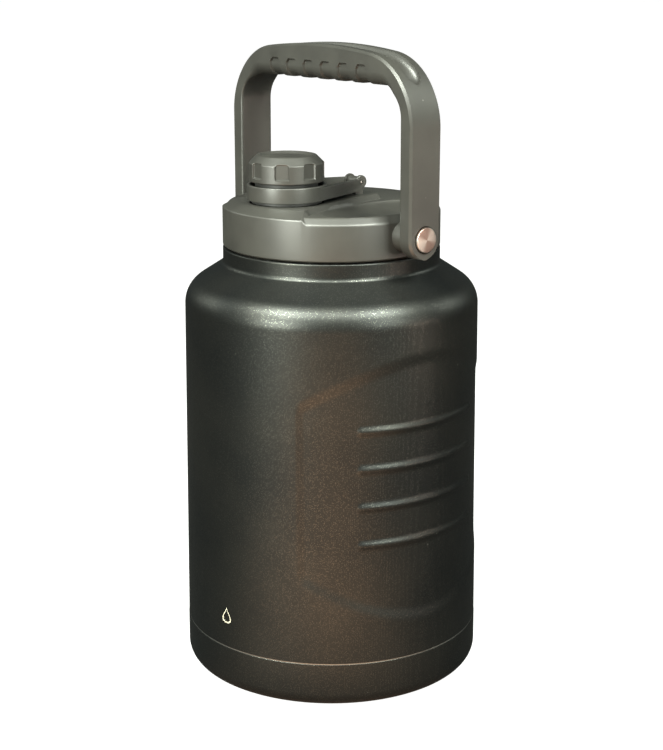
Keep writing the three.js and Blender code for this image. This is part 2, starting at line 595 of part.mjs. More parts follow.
// ---------------------------------------------------------------- handle
const inCentre = v2(legInX - CORNER_IN_R, gripUnderZ - CORNER_IN_R);
const outX = legOutX - CORNER_OUT_R;
const crownR = CORNER_OUT_R + outX / Math.sin(CROWN_TILT);
const crownZ = handleTopZ - crownR;
const outCentre = v2(outX, crownZ + (crownR - CORNER_OUT_R) * Math.cos(CROWN_TILT));
const onOuterCorner = (a) =>
  v2(outCentre.x + CORNER_OUT_R * Math.cos(a), outCentre.y + CORNER_OUT_R * Math.sin(a));
const onCrown = (a) => v2(crownR * Math.sin(a), crownZ + crownR * Math.cos(a));
const cornerTurn = Math.PI / 2 - CROWN_TILT;

/** Stations of the handle's right half: outer point, inner point, half width and rounding of the inner edges. */
function halfStations() {
  const stations = [];
  const endSteps = 6;
  for (let i = 0; i <= endSteps; i++) {
    const a = (Math.PI / 2) * (0.06 + (0.94 * i) / endSteps);
    const z = pivotZ - LEG_HALF_WIDTH * Math.cos(a);
    const half = Math.max(2, LEG_HALF_WIDTH * Math.sin(a));
    stations.push({ outer: v2(legOutX, z), inner: v2(legInX, z), half, round: EDGE });
  }
  const half = LEG_HALF_WIDTH;
  stations.push({ outer: v2(legOutX, outCentre.y), inner: v2(legInX, inCentre.y), half, round: EDGE });
  const cornerSteps = 7;
  for (let i = 1; i <= cornerSteps; i++) {
    const b = ((i / cornerSteps) * Math.PI) / 2;
    const inner = v2(inCentre.x + CORNER_IN_R * Math.cos(b), inCentre.y + CORNER_IN_R * Math.sin(b));
    const round = THREE.MathUtils.mapLinear(Math.max(i, 4), 4, cornerSteps, EDGE, GRIP_ROUND);
    stations.push({ outer: onOuterCorner((i / cornerSteps) * cornerTurn), inner, half, round });
  }
  for (const share of [2 / 3, 1 / 3, 0]) {
    const inner = v2(inCentre.x * share, gripUnderZ);
    stations.push({ outer: onCrown(CROWN_TILT * share), inner, half, round: GRIP_ROUND });
  }
  return stations;
}

/** The closed section at one station, with chamfered outer edges and rounded inner ones. */
function handleSection({ outer, inner, half, round }, side) {
  const across = v2(outer.x - inner.x, outer.y - inner.y);
  const depth = across.length();
  const r = Math.min(round, half - 0.5);
  const c = Math.min(EDGE, half - 0.5);
  const outline = [
    v2(half, depth - c), v2(half - c, depth), v2(c - half, depth), v2(-half, depth - c),
    ...arc(r - half, r, r, Math.PI, 1.5 * Math.PI, 4), ...arc(half - r, r, r, 1.5 * Math.PI, 2 * Math.PI, 4),
  ];
  return outline.map((p) => new THREE.Vector3(
    side * (inner.x + (across.x * p.y) / depth), p.x, inner.y + (across.y * p.y) / depth));
}
const stations = halfStations();
const rightRings = stations.map((s) => handleSection(s, 1));
const leftRings = stations.slice(0, -1).map((s) => handleSection(s, -1)).toReversed();
let handle = loft([...rightRings, ...leftRings]);

const notchTopZ = gripUnderZ + NOTCH_RISE;
const coreHalf = LEG_HALF_WIDTH - NOTCH_DEPTH;
const coreRound = GRIP_ROUND - NOTCH_DEPTH;
const coreArcZ = gripUnderZ + NOTCH_DEPTH + coreRound;
const gripCore = [
  v2(coreHalf, notchTopZ + PAST), v2(-coreHalf, notchTopZ + PAST),
  ...arc(coreRound - coreHalf, coreArcZ, coreRound, Math.PI, 1.5 * Math.PI, 4),
  ...arc(coreHalf - coreRound, coreArcZ, coreRound, 1.5 * Math.PI, 2 * Math.PI, 4),
];
const notchCount = Math.floor((2 * inCentre.x) / NOTCH_PITCH) - 1;
for (let i = 0; i < notchCount; i++) {
  const x = (i - (notchCount - 1) / 2) * NOTCH_PITCH;
  const bite = block(x - NOTCH_WIDTH / 2, -LEG_HALF_WIDTH - PAST, gripUnderZ - PAST,
    x + NOTCH_WIDTH / 2, LEG_HALF_WIDTH + PAST, notchTopZ);
  handle = handle.subtract(bite.subtract(sidePrism(gripCore, x - NOTCH_WIDTH, x + NOTCH_WIDTH)));
}

/** Rings of the round channel along the outside of the grip, from one corner over the top to the other. */
function channelRings() {
  const path = [];
  const cornerSteps = 5;
  for (let i = 0; i <= cornerSteps; i++) {
    const a = CHANNEL_START + (i / cornerSteps) * (cornerTurn - CHANNEL_START);
    path.push({ p: onOuterCorner(a), a, size: Math.min(1, 0.35 + 0.25 * i) });
  }
  for (const a of [CROWN_TILT / 2, 0]) path.push({ p: onCrown(a), a: Math.PI / 2 - a, size: 1 });
  const mirrored = path.slice(0, -1).toReversed()
    .map(({ p, a, size }) => ({ p: v2(-p.x, p.y), a: Math.PI - a, size }));
  return [...path, ...mirrored].map(({ p, a, size }) => {
    const dent = arc(0, 0, 1, Math.PI, 2 * Math.PI, 8)
      .map((q) => v2(q.x * CHANNEL_HALF_WIDTH * size, q.y * CHANNEL_DEPTH * size));
    const top = [v2(CHANNEL_HALF_WIDTH * size, 2 * PAST), v2(-CHANNEL_HALF_WIDTH * size, 2 * PAST)];
    return [...dent, ...top].map((q) =>
      new THREE.Vector3(p.x + q.y * Math.cos(a), q.x, p.y + q.y * Math.sin(a)));
  });
}
handle = handle.subtract(loft(channelRings()));
for (const side of [-1, 1]) {
  const along = (r, from, to) => bar(r, side * from, side * to, 0, pivotZ);
  handle = handle.subtract(along(bushR + GAP, legInX - PAST, legOutX + PAST))
    .subtract(along(discR + GAP, recessX, legOutX + PAST));
}
add("handle", handle, PLASTIC);

// ---------------------------------------------------------------- handle pivots
for (const [label, side] of [["left", -1], ["right", 1]]) {
  const along = (r, from, to, endR = r) => bar(r, side * from, side * to, 0, pivotZ, COARSE, endR);
  const bush = along(bushR, legInX - GAP, recessX - GAP)
    .add(along(BUSH_FLANGE_R, legInX - GAP - BUSH_FLANGE, legInX - GAP))
    .subtract(along(SHANK_R + GAP, bossFaceX, legOutX));
  add(`${label}_pivot_bush`, bush, INNER_PLASTIC);
  const screw = along(SCREW_R, insertInX + GAP, bossFaceX + 2 * GAP)
    .add(along(SHANK_R, bossFaceX + GAP, discInX - GAP)).add(along(headR, headInX, discInX - GAP));
  add(`${label}_pivot_screw`, screw, STEEL);
  const washer = along(headR, washerInX, washerInX + WASHER_THICK).subtract(along(SHANK_R + GAP, legInX, legOutX));
  add(`${label}_wave_washer`, washer, STEEL);
  const insert = along(insertR, insertInX + GAP, bossFaceX).subtract(along(SCREW_R + GAP, insertInX, legInX));
  add(`${label}_insert`, insert, BRASS);
  const discOutX = legOutX + DISC_PROUD;
  const disc = along(discR, discInX, discOutX - DISC_BEVEL)
    .add(along(discR, discOutX - DISC_BEVEL, discOutX, discR - DISC_BEVEL));
  add(`${label}_pin_cap`, disc, STEEL);
}

export default group;
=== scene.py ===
"""Surfaces, finishes, light and camera of the large insulated water jug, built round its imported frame."""

import json
import logging
import math
from dataclasses import dataclass, field
from enum import Enum

import bpy
import numpy as np
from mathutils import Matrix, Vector


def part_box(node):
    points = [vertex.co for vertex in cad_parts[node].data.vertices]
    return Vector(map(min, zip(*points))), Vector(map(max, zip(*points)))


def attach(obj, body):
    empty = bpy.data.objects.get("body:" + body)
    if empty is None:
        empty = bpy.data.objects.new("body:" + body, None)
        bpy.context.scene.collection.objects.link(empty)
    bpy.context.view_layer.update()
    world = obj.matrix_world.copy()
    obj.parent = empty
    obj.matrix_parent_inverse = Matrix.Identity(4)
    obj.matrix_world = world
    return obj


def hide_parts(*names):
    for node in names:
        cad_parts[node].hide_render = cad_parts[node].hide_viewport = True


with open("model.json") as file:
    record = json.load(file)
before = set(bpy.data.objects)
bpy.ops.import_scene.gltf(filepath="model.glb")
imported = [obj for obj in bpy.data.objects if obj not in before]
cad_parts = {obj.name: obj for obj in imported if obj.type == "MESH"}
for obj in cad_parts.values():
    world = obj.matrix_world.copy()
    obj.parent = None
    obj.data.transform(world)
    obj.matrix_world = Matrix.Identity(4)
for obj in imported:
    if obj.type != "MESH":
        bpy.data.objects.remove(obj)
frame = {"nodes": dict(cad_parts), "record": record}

logging.basicConfig(level=logging.INFO, format="%(name)s: %(message)s")
LOG = logging.getLogger("water_jug")

MM = 0.001  # shapes are worked out in millimetres, and made in metres
TINY = 1e-6
GAP = 0.3  # clearance between pieces that touch
RUN = 0.6  # clearance round what turns
LID_THREAD_DROP = 14.0  # from the rim down to where the lid's thread starts
LID_THREAD_TURNS = 1.5
CAP_THREAD_DROP = 12.0  # from the spout's top down to where the small cap's thread starts
CAP_THREAD_TURNS = 1.25
PIN_BORE_R = 1.1
PALE = (1.0, 1.0, 0.99, 1)  # what the camera sees of the floor and the surroundings
CRISP = 28  # degrees, above which an edge of the handle stays crisp

Colour = tuple[float, float, float]
Spot = tuple[float, float, float]
Piece = bpy.types.Object
Socket = bpy.types.NodeSocket


class Body(Enum):
    """The rigid bodies of the frame."""

    JUG = "jug"
    LID_SEAL = "lid_seal"
    LID = "lid"
    BAIL = "bail"
    TETHER = "tether"
    SMALL_CAP = "small_cap"


class Slot(Enum):
    """The record's material slots."""

    POWDER = "powder_coat"
    SATIN = "satin_plastic"
    INNER = "inner_plastic"
    STEEL = "steel"
    DISC = "brushed_disc"
    BRASS = "brass"
    SILICONE = "silicone"
    RUBBER = "rubber"
    FOAM = "foam"


class Cut(Enum):
    """How a tool shape changes a piece."""

    AWAY = "DIFFERENCE"
    JOIN = "UNION"


# ------------------------------------------------------------------------------ the frame's sizes
def corners(node: str) -> tuple[np.ndarray, np.ndarray]:
    """Lowest and highest corner of a frame node, in millimetres.

    Args:
        node: name of the node.

    Returns:
        The two corners.
    """
    low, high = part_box(node)
    return np.array(low) / MM, np.array(high) / MM


@dataclass
class Frame:
    """Sizes and places that several assemblies share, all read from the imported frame."""

    body_r: float = field(init=False)
    seam_low: float = field(init=False)
    seam_high: float = field(init=False)
    rim: float = field(init=False)
    lid_r: float = field(init=False)
    lid_low: float = field(init=False)
    boss_x: float = field(init=False)
    spout_y: float = field(init=False)
    spout_top: float = field(init=False)
    pivot: float = field(init=False)
    hinge_y: float = field(init=False)
    hinge_z: float = field(init=False)

    def __post_init__(self) -> None:
        """Reads each size from the boxes of the nodes that set it."""
        cup, shell, lid = corners("base_cup"), corners("outer_shell"), corners("lid_shell")
        spout, pin, disc = corners("spout"), corners("hinge_pin"), corners("right_pin_cap")
        self.body_r = cup[1][0]
        self.seam_low, self.seam_high = cup[1][2], shell[0][2]
        self.rim = shell[1][2]
        self.lid_r, self.lid_low, self.boss_x = lid[1][1], lid[0][2], lid[1][0]
        self.spout_y, self.spout_top = (spout[0][1] + spout[1][1]) / 2, spout[1][2]
        self.pivot = (disc[0][2] + disc[1][2]) / 2
        self.hinge_y, self.hinge_z = (pin[0][1] + pin[1][1]) / 2, (pin[0][2] + pin[1][2]) / 2


# ------------------------------------------------------------------------------ surfaces
def smooth_step(value: np.ndarray) -> np.ndarray:
    """Rises from 0 to 1 with level ends: 3t squared less 2t cubed, with t kept between 0 and 1."""
    t = np.clip(value, 0, 1)
    return t * t * (3 - 2 * t)


def soft_min(a: np.ndarray, b: np.ndarray, blend: float) -> np.ndarray:
    """The smaller of two heights, with the crease between them rounded over a blend.

    The excess of the blend over the difference, squared and over four blends, is taken off the minimum.
    """
    over = np.maximum(blend - np.abs(a - b), 0)
    return np.minimum(a, b) - over * over / (4 * blend)


def soft_max(a: np.ndarray, b: np.ndarray, blend: float) -> np.ndarray:
    """The larger of two heights, rounded as soft_min rounds."""
    return -soft_min(-a, -b, blend)


def rounded(points: list[tuple[float, ...]], closed: bool = False, steps: int = 6) -> np.ndarray:
    """An outline with its corners rounded.

    Each corner with a radius becomes a circular arc, written as a rational parabola between its two
    tangent points: the outer weights are 1 and the corner's is the cosine of half the turn.

    Args:
        points: corners as (x, y) or (x, y, radius).
        closed: whether the last corner joins the first.
        steps: spans of each arc.

    Returns:
        Points of the outline, one row each.
    """
    spots = np.array([p[:2] for p in points], float)
    out = []
    for i, point in enumerate(points):
        here = spots[i]
        inside = closed or 0 < i < len(points) - 1
        radius = point[2] if len(point) > 2 and inside else 0
        if radius <= 0:
            out.append(here[None])
            continue
        back, on = spots[i - 1] - here, spots[(i + 1) % len(points)] - here
        reach_back, reach_on = np.linalg.norm(back), np.linalg.norm(on)
        back, on = back / reach_back, on / reach_on
        turn = math.pi - math.acos(float(np.clip(back @ on, -1, 1)))
        cut = min(radius * math.tan(turn / 2), 0.499 * reach_back, 0.499 * reach_on)
        s = np.linspace(0, 1, steps + 1)[:, None]
        weight = math.cos(turn / 2)
        low, mid, high = (1 - s) ** 2, 2 * weight * s * (1 - s), s**2
        out.append((low * (here + cut * back) + mid * here + high * (here + cut * on)) / (low + mid + high))
    return np.vstack(out)


def dense(path: np.ndarray, step: float) -> np.ndarray:
    """An outline with extra points, no further apart than a step, on its straight stretches."""
    lengths = np.linalg.norm(np.diff(path, axis=0), axis=1)
    along = np.concatenate([[0], np.cumsum(lengths)])
    every = np.unique(np.concatenate([along, np.arange(0, along[-1], step)]).round(6))
    return np.stack([np.interp(every, along, path[:, k]) for k in (0, 1)], axis=1)


def turns(count: int, *fine: tuple[float, float, float]) -> np.ndarray:
    """Angles once round, with finer stretches.

    Args:
        count: angles in an even turn.
        fine: stretches as (middle, half width, step), in degrees.

    Returns:
        Angles in radians, from 0 up to just under a full turn.
    """
    even = np.arange(count) * 360 / count
    extra = [np.arange(mid - half, mid + half + TINY, step) % 360 for mid, half, step in fine]
    return np.radians(np.unique(np.concatenate([even, *extra]).round(4) % 360))


def revolved(path: np.ndarray, around: np.ndarray, y: float = 0.0) -> np.ndarray:
    """An outline of (radius, height) carried round an upright axis: x = r cos a, y = r sin a.

    Args:
        path: the outline.
        around: the angles.
        y: where the axis stands.

    Returns:
        Grid of points, one row for each point of the outline.
    """
    r, z = path[:, 0:1], path[:, 1:2]
    a = around[None, :]
    return np.stack([r * np.cos(a), y + r * np.sin(a), z + 0 * a], axis=-1)


def laid(path: np.ndarray, around: np.ndarray, side: int, y: float, z: float) -> np.ndarray:
    """An outline of (radius, distance) carried round an axis along X, on one side of the jug."""
    r, x = path[:, 0:1], path[:, 1:2]
    a = around[None, :]
    return np.stack([side * x + 0 * a, y + r * np.cos(a), z + r * np.sin(a)], axis=-1)


def thread(points: np.ndarray, y: float, start: float, climbs: float, height: float, pitch: float = 5.0,
           half: float = 1.8) -> np.ndarray:
    """How far a thread's ridge stands from its wall at each point of a grid.

    A point's climb above the start, less the pitch times its share of a turn, gives its distance from
    the nearest ridge: the ridge is full within half its half width, falls off outside, and fades at its ends.

    Args:
        points: the grid.
        y: where the upright axis stands.
        start: height at which the ridge starts, at angle 0.
        climbs: number of turns.
        height: height of the ridge, negative on an inner wall.
        pitch: climb of one turn.
        half: half the ridge's width.

    Returns:
        The rise at each point.
    """
    share = (np.arctan2(points[..., 1] - y, points[..., 0]) / (2 * math.pi)) % 1
    climb = (points[..., 2] - start) / pitch
    lap = np.clip(np.round(climb - share), 0, math.ceil(climbs) - 1)
    along = lap + share
    off = np.abs(climb - along) * pitch
    fade = smooth_step(np.minimum(along, climbs - along) * 6)
    return height * fade * smooth_step(2 * (half - off) / half)


def widened(points: np.ndarray, y: float, rise: np.ndarray) -> np.ndarray:
    """A grid with each point moved away from an upright axis by its rise."""
    out = points.copy()
    dx, dy = points[..., 0], points[..., 1] - y
    r = np.maximum(np.hypot(dx, dy), TINY)
    out[..., 0] += dx / r * rise
    out[..., 1] += dy / r * rise
    return out


def piece_of(name: str, points: np.ndarray, ring: bool = False, poles: bool = False,
             sharp: float = 32.0) -> Piece:
    """Makes a closed piece from a grid whose columns run round and join.

    Each cell of the grid is two triangles. Row ends join each other, or close on one point each. The
    signed volume, a sixth of the sum of each triangle's triple product, tells which way the faces point.

    Args:
        name: name of the piece.
        points: grid of points in millimetres.
        ring: whether the last row joins the first.
        poles: whether the first and last rows are single points.
        sharp: angle in degrees above which an edge stays crisp.

    Returns:
        The new object, at the origin.
    """
    rows, cols = points.shape[:2]
    index = np.arange(rows * cols).reshape(rows, cols)
    if poles:
        index[0], index[-1] = index[0, 0], index[-1, 0]
    if ring:
        index = np.vstack([index, index[:1]])
    index = np.hstack([index, index[:, :1]])
    a, b, c, d = index[:-1, :-1], index[:-1, 1:], index[1:, 1:], index[1:, :-1]
    tris = np.concatenate([np.stack([a, b, c], -1).reshape(-1, 3), np.stack([a, c, d], -1).reshape(-1, 3)])
    same = (tris[:, 0] == tris[:, 1]) | (tris[:, 1] == tris[:, 2]) | (tris[:, 2] == tris[:, 0])
    used, tris = np.unique(tris[~same], return_inverse=True)
    tris = tris.reshape(-1, 3)
    verts = points.reshape(-1, 3)[used] * MM
    p, q, s = verts[tris[:, 0]], verts[tris[:, 1]], verts[tris[:, 2]]
    if np.einsum("ij,ij->i", p, np.cross(q, s)).sum() < 0:
        tris = tris[:, ::-1]
    mesh = bpy.data.meshes.new(name)
    mesh.vertices.add(len(verts))
    mesh.vertices.foreach_set("co", verts.astype(np.float32).ravel())
    mesh.loops.add(tris.size)
    mesh.loops.foreach_set("vertex_index", tris.astype(np.int32).ravel())
    mesh.polygons.add(len(tris))
    mesh.polygons.foreach_set("loop_start", np.arange(0, tris.size, 3, dtype=np.int32))
    mesh.update(calc_edges=True)
    mesh.validate()
    smooth(mesh, sharp)
    piece = bpy.data.objects.new(name, mesh)
    bpy.context.scene.collection.objects.link(piece)
    return piece


def smooth(mesh: bpy.types.Mesh, sharp: float) -> None:
    """Shades a mesh smooth, with edges sharper than an angle in degrees left crisp."""
    mesh.polygons.foreach_set("use_smooth", np.ones(len(mesh.polygons), bool))
    mesh.set_sharp_from_angle(angle=math.radians(sharp))


def lathe(name: str, path: np.ndarray, around: np.ndarray, y: float = 0.0) -> Piece:
    """A piece turned round an upright axis from an outline that ends on the axis or joins up."""
    on_axis = path[0, 0] < TINY and path[-1, 0] < TINY
    return piece_of(name, revolved(path, around, y), ring=not on_axis, poles=on_axis)


def cross_lathe(name: str, path: np.ndarray, around: np.ndarray, side: int, y: float, z: float) -> Piece:
    """A piece turned round an axis along X from an outline that ends on the axis or joins up."""
    on_axis = path[0, 0] < TINY and path[-1, 0] < TINY
    return piece_of(name, laid(path, around, side, y, z), ring=not on_axis, poles=on_axis)


def drum(radius: float, low: float, high: float) -> np.ndarray:
    """The outline of a plain drum, from the axis at one end to the axis at the other."""
    return np.array([(0, low), (radius, low), (radius, high), (0, high)])


def pin_bore(sizes: Frame) -> Piece:
    """The hole for the tether's hinge pin, as a tool shape."""
    return cross_lathe("bore", drum(PIN_BORE_R, -9, 9), turns(32), 1, sizes.hinge_y, sizes.hinge_z)


def carve(piece: Piece, tool: Piece, cut: Cut, sharp: float = 32.0) -> None:
    """Cuts a tool shape out of a piece or joins it on, and throws the tool away.

    Args:
        piece: the piece to change.
        tool: a closed shape.
        cut: whether it is taken away or joined.
        sharp: angle in degrees above which an edge stays crisp.
    """
    step = piece.modifiers.new("cut", "BOOLEAN")
    step.object, step.operation, step.solver = tool, cut.value, "MANIFOLD"
    graph = bpy.context.evaluated_depsgraph_get()
    mesh = bpy.data.meshes.new_from_object(piece.evaluated_get(graph))
    old = piece.data
    piece.modifiers.clear()
    piece.data = mesh
    mesh.name = piece.name
    bpy.data.meshes.remove(old)
    tool_mesh = tool.data
    bpy.data.objects.remove(tool)
    bpy.data.meshes.remove(tool_mesh)
    smooth(mesh, sharp)


# ------------------------------------------------------------------------------ shader groups
class Nodes:
    """Adds nodes to a tree and joins them."""

    def __init__(self, tree: bpy.types.NodeTree) -> None:
        """Takes the tree to work in."""
        self.tree = tree

    def add(self, kind: str, **values: object) -> bpy.types.Node:
        """Adds a node.

        Args:
            kind: the node's type.
            values: properties, or inputs by their name with _ for a space.

        Returns:
            The node.
        """
        node = self.tree.nodes.new(kind)
        for key, value in values.items():
            if hasattr(node, key):
                setattr(node, key, value)
            else:
                self.feed(node.inputs[key.replace("_", " ")], value)
        return node

    def feed(self, socket: Socket, value: object) -> None:
        """Sets a socket to a value, or joins an output to it."""
        if isinstance(value, Socket):
            self.tree.links.new(value, socket)
        else:
            socket.default_value = value

    def math(self, operation: str, a: object, b: object = 0.0, clamp: bool = False) -> Socket:
        """Does one sum and returns its output."""
        node = self.tree.nodes.new("ShaderNodeMath")
        node.operation, node.use_clamp = operation, clamp
        self.feed(node.inputs[0], a)
        self.feed(node.inputs[1], b)
        return node.outputs[0]

    def times(self, a: object, b: object) -> Socket:
        """The product of two values."""
        return self.math("MULTIPLY", a, b)

    def plus(self, a: object, b: object, clamp: bool = False) -> Socket:
        """The sum of two values."""
        return self.math("ADD", a, b, clamp)

    def minus(self, a: object, b: object) -> Socket:
        """The first value less the second."""
        return self.math("SUBTRACT", a, b)

    def span(self, value: object, low: float, high: float) -> Socket:
        """Maps a value from a span to 0 to 1, smoothly, and returns the result."""
        node = self.tree.nodes.new("ShaderNodeMapRange")
        node.interpolation_type = "SMOOTHSTEP"
        for key, item in (("Value", value), ("From Min", low), ("From Max", high)):
            self.feed(node.inputs[key], item)
        return node.outputs["Result"]

    def mix(self, share: object, a: object, b: object) -> Socket:
        """Mixes two colours by a share and returns the result."""
        node = self.tree.nodes.new("ShaderNodeMix")
        node.data_type = "RGBA"
        for socket, item in zip((node.inputs[0], node.inputs[6], node.inputs[7]), (share, a, b)):
            self.feed(socket, item)
        return node.outputs[2]

    def noise(self, where: object, scale: object, detail: float = 2.0, rough: float = 0.5) -> Socket:
        """Adds a noise texture and returns its factor."""
        node = self.add("ShaderNodeTexNoise", Vector=where, Scale=scale, Detail=detail, Roughness=rough)
        return node.outputs[0]


class EffectGroup:
    """A shader group that several finishes share, with named inputs and outputs."""

    def __init__(self, name: str, inputs: dict[str, float], outputs: tuple[str, ...]) -> None:
        """Makes the group's tree and sockets.

        Args:
            name: name of the group.
            inputs: its number inputs and their usual values.
            outputs: its number outputs.
        """
        self.tree = bpy.data.node_groups.new(name, "ShaderNodeTree")
        for label, value in inputs.items():
            socket = self.tree.interface.new_socket(label, in_out="INPUT", socket_type="NodeSocketFloat")
            socket.default_value = value
        for label in outputs:
            self.tree.interface.new_socket(label, in_out="OUTPUT", socket_type="NodeSocketFloat")
        self.nodes = Nodes(self.tree)
        self.given = self.nodes.add("NodeGroupInput")
        self.result = self.nodes.add("NodeGroupOutput")
        self.where = self.nodes.add("ShaderNodeTexCoord").outputs["Object"]

    def take(self, label: str) -> Socket:
        """The value that a material gives to one of the group's inputs."""
        return self.given.outputs[label]

    def give(self, label: str, value: Socket) -> None:
        """Puts a value out under one of the group's output names."""
        self.nodes.feed(self.result.inputs[label], value)

    def place(self, nodes: Nodes, **values: float) -> bpy.types.Node:
        """Puts the group into a material with that material's own values."""
        node = nodes.tree.nodes.new("ShaderNodeGroup")
        node.node_tree = self.tree
        for key, value in values.items():
            nodes.feed(node.inputs[key.replace("_", " ")], value)
        return node


def grain_group() -> EffectGroup:
    """Skin of a coat or a moulding: fine pebbles over a slower unevenness, and broad mottling."""
    group = EffectGroup("fine_grain", {"Pebble": 1500.0, "Coarse": 0.35, "Patch": 22.0}, ("Height", "Mottle"))
    n = group.nodes
    fine = n.noise(group.where, group.take("Pebble"), 3.0, 0.6)
    slow = n.noise(group.where, n.times(group.take("Pebble"), group.take("Coarse")), 2.0)
    group.give("Height", n.plus(n.times(fine, 0.6), n.times(slow, 0.4)))
    group.give("Mottle", n.span(n.noise(group.where, group.take("Patch"), 4.0, 0.55), 0.3, 0.7))
    return group


def fleck_group() -> EffectGroup:
    """Metal flecks: cells whose random shade passes a limit shine near their middles."""
    group = EffectGroup("metal_fleck", {"Size": 1700.0, "Share": 0.9}, ("Fleck",))
    n = group.nodes
    cells = n.add("ShaderNodeTexVoronoi", Vector=group.where, Scale=group.take("Size"))
    shade = n.add("ShaderNodeSeparateColor", Color=cells.outputs["Color"]).outputs[0]
    chosen = n.math("GREATER_THAN", shade, group.take("Share"))
    near = n.span(cells.outputs["Distance"], 0.45, 0.1)
    group.give("Fleck", n.times(chosen, near))
    return group


def dust_group() -> EffectGroup:
    """Specks and faint scuffs of use: sparse bright cells, and long thin marks from stretched noise."""
    group = EffectGroup("dust_and_scuffs", {"Specks": 260.0, "Few": 0.985}, ("Dust", "Scuff"))
    n = group.nodes
    cells = n.add("ShaderNodeTexVoronoi", Vector=group.where, Scale=group.take("Specks"))
    shade = n.add("ShaderNodeSeparateColor", Color=cells.outputs["Color"]).outputs[1]
    chosen = n.math("GREATER_THAN", shade, group.take("Few"))
    group.give("Dust", n.times(chosen, n.span(cells.outputs["Distance"], 0.12, 0.04)))
    turned = n.add("ShaderNodeMapping", Vector=group.where, Rotation=(0.4, 0.9, 0.3), Scale=(1.0, 14.0, 2.0))
    marks = n.noise(turned.outputs[0], 45.0, 3.0, 0.7)
    group.give("Scuff", n.span(marks, 0.62, 0.74))
    return group


def brush_group() -> EffectGroup:
    """Brushing: noise that is stretched a great deal along one axis, and a slow unevenness."""
    group = EffectGroup("brushing", {"Fine": 900.0, "Along X": 1.0, "Along Z": 1.0}, ("Streak", "Cloud"))
    n = group.nodes
    scale = n.add("ShaderNodeCombineXYZ", X=group.take("Along X"), Y=1.0, Z=group.take("Along Z"))
    turned = n.add("ShaderNodeVectorMath", operation="MULTIPLY")
    n.feed(turned.inputs[0], group.where)
    n.feed(turned.inputs[1], scale.outputs[0])
    group.give("Streak", n.noise(turned.outputs[0], group.take("Fine"), 4.0, 0.7))
    group.give("Cloud", n.span(n.noise(group.where, 40.0, 3.0), 0.35, 0.65))
    return group


@dataclass
class Effects:
    """The shared groups, each built once."""

    grain: EffectGroup = field(default_factory=grain_group)
    fleck: EffectGroup = field(default_factory=fleck_group)
    dust: EffectGroup = field(default_factory=dust_group)
    brush: EffectGroup = field(default_factory=brush_group)


class Finish:
    """What every finish does: starts a material, mixes its two shades, and joins its height to the normal."""

    name: str
    dark: Colour
    light: Colour

    def shaded(self, nodes: Nodes, share: Socket) -> Socket:
        """The finish's colour: its dark shade, mixed with its light one by a share."""
        return nodes.mix(share, (*self.dark, 1), (*self.light, 1))

    def start(self) -> tuple[bpy.types.Material, Nodes, bpy.types.Node]:
        """Makes an empty material with a Principled shader.

        Returns:
            The material, its nodes and its shader.
        """
        material = bpy.data.materials.new(self.name)
        material.use_nodes = True
        material.node_tree.nodes.clear()
        nodes = Nodes(material.node_tree)
        shader = nodes.add("ShaderNodeBsdfPrincipled")
        out = nodes.add("ShaderNodeOutputMaterial")
        nodes.feed(out.inputs["Surface"], shader.outputs[0])
        return material, nodes, shader

    @staticmethod
    def raise_by(nodes: Nodes, shader: bpy.types.Node, height: Socket, depth_mm: float,
                 strength: float = 1.0) -> None:
        """Feeds a height to the shader's normal through a Bump node.

        Args:
            nodes: the material's nodes.
            shader: its shader.
            height: the height, from 0 to 1.
            depth_mm: what a height of 1 stands for.
            strength: how much of it shows.
        """
        bump = nodes.add("ShaderNodeBump", Strength=strength, Distance=depth_mm * MM, Height=height)
        nodes.feed(shader.inputs["Normal"], bump.outputs["Normal"])


@dataclass(frozen=True)
class PowderCoat(Finish):
    """Baked powder paint with metal flecks and a fine orange peel."""

    effects: Effects
    name: str = "powder_coat_graphite"
    dark: Colour = (0.036, 0.039, 0.039)
    light: Colour = (0.054, 0.055, 0.051)
    fleck: Colour = (0.62, 0.62, 0.55)

    def build(self) -> bpy.types.Material:
        """Builds the material."""
        material, n, shader = self.start()
        grain = self.effects.grain.place(n, Pebble=1700.0, Coarse=0.45, Patch=14.0)
        fleck = self.effects.fleck.place(n, Size=2000.0, Share=0.5).outputs["Fleck"]
        dust = self.effects.dust.place(n, Specks=170.0, Few=0.99)
        base = self.shaded(n, grain.outputs["Mottle"])
        sparkled = n.mix(n.times(fleck, 0.24), base, (*self.fleck, 1))
        dusty = n.mix(n.times(dust.outputs["Dust"], 0.35), sparkled, (0.5, 0.5, 0.46, 1))
        n.feed(shader.inputs["Base Color"], dusty)
        n.feed(shader.inputs["Metallic"], n.plus(0.93, n.times(fleck, 0.07)))
        rough = n.plus(0.34, n.times(grain.outputs["Height"], 0.12))
        n.feed(shader.inputs["Roughness"], n.minus(rough, n.times(fleck, 0.16)))
        self.raise_by(n, shader, n.plus(grain.outputs["Height"], n.times(fleck, 0.4)), 0.045, 0.9)
        return material


@dataclass(frozen=True)
class MouldedPlastic(Finish):
    """Moulded plastic with a fine spark-eroded grain."""

    effects: Effects
    name: str
    dark: Colour
    light: Colour
    rough: float = 0.35
    depth: float = 0.05

    def build(self) -> bpy.types.Material:
        """Builds the material."""
        material, n, shader = self.start()
        grain = self.effects.grain.place(n, Pebble=2300.0, Coarse=0.22, Patch=30.0)
        dust = self.effects.dust.place(n, Specks=210.0, Few=0.985)
        base = self.shaded(n, grain.outputs["Mottle"])
        dusty = n.mix(n.times(dust.outputs["Dust"], 0.25), base, (0.55, 0.55, 0.5, 1))
        n.feed(shader.inputs["Base Color"], dusty)
        shader.inputs["Specular IOR Level"].default_value = 1.0
        rough = n.plus(self.rough, n.times(grain.outputs["Height"], 0.14))
        n.feed(shader.inputs["Roughness"], n.minus(rough, n.times(dust.outputs["Scuff"], 0.05)))
        self.raise_by(n, shader, grain.outputs["Height"], self.depth, 0.8)
        return material


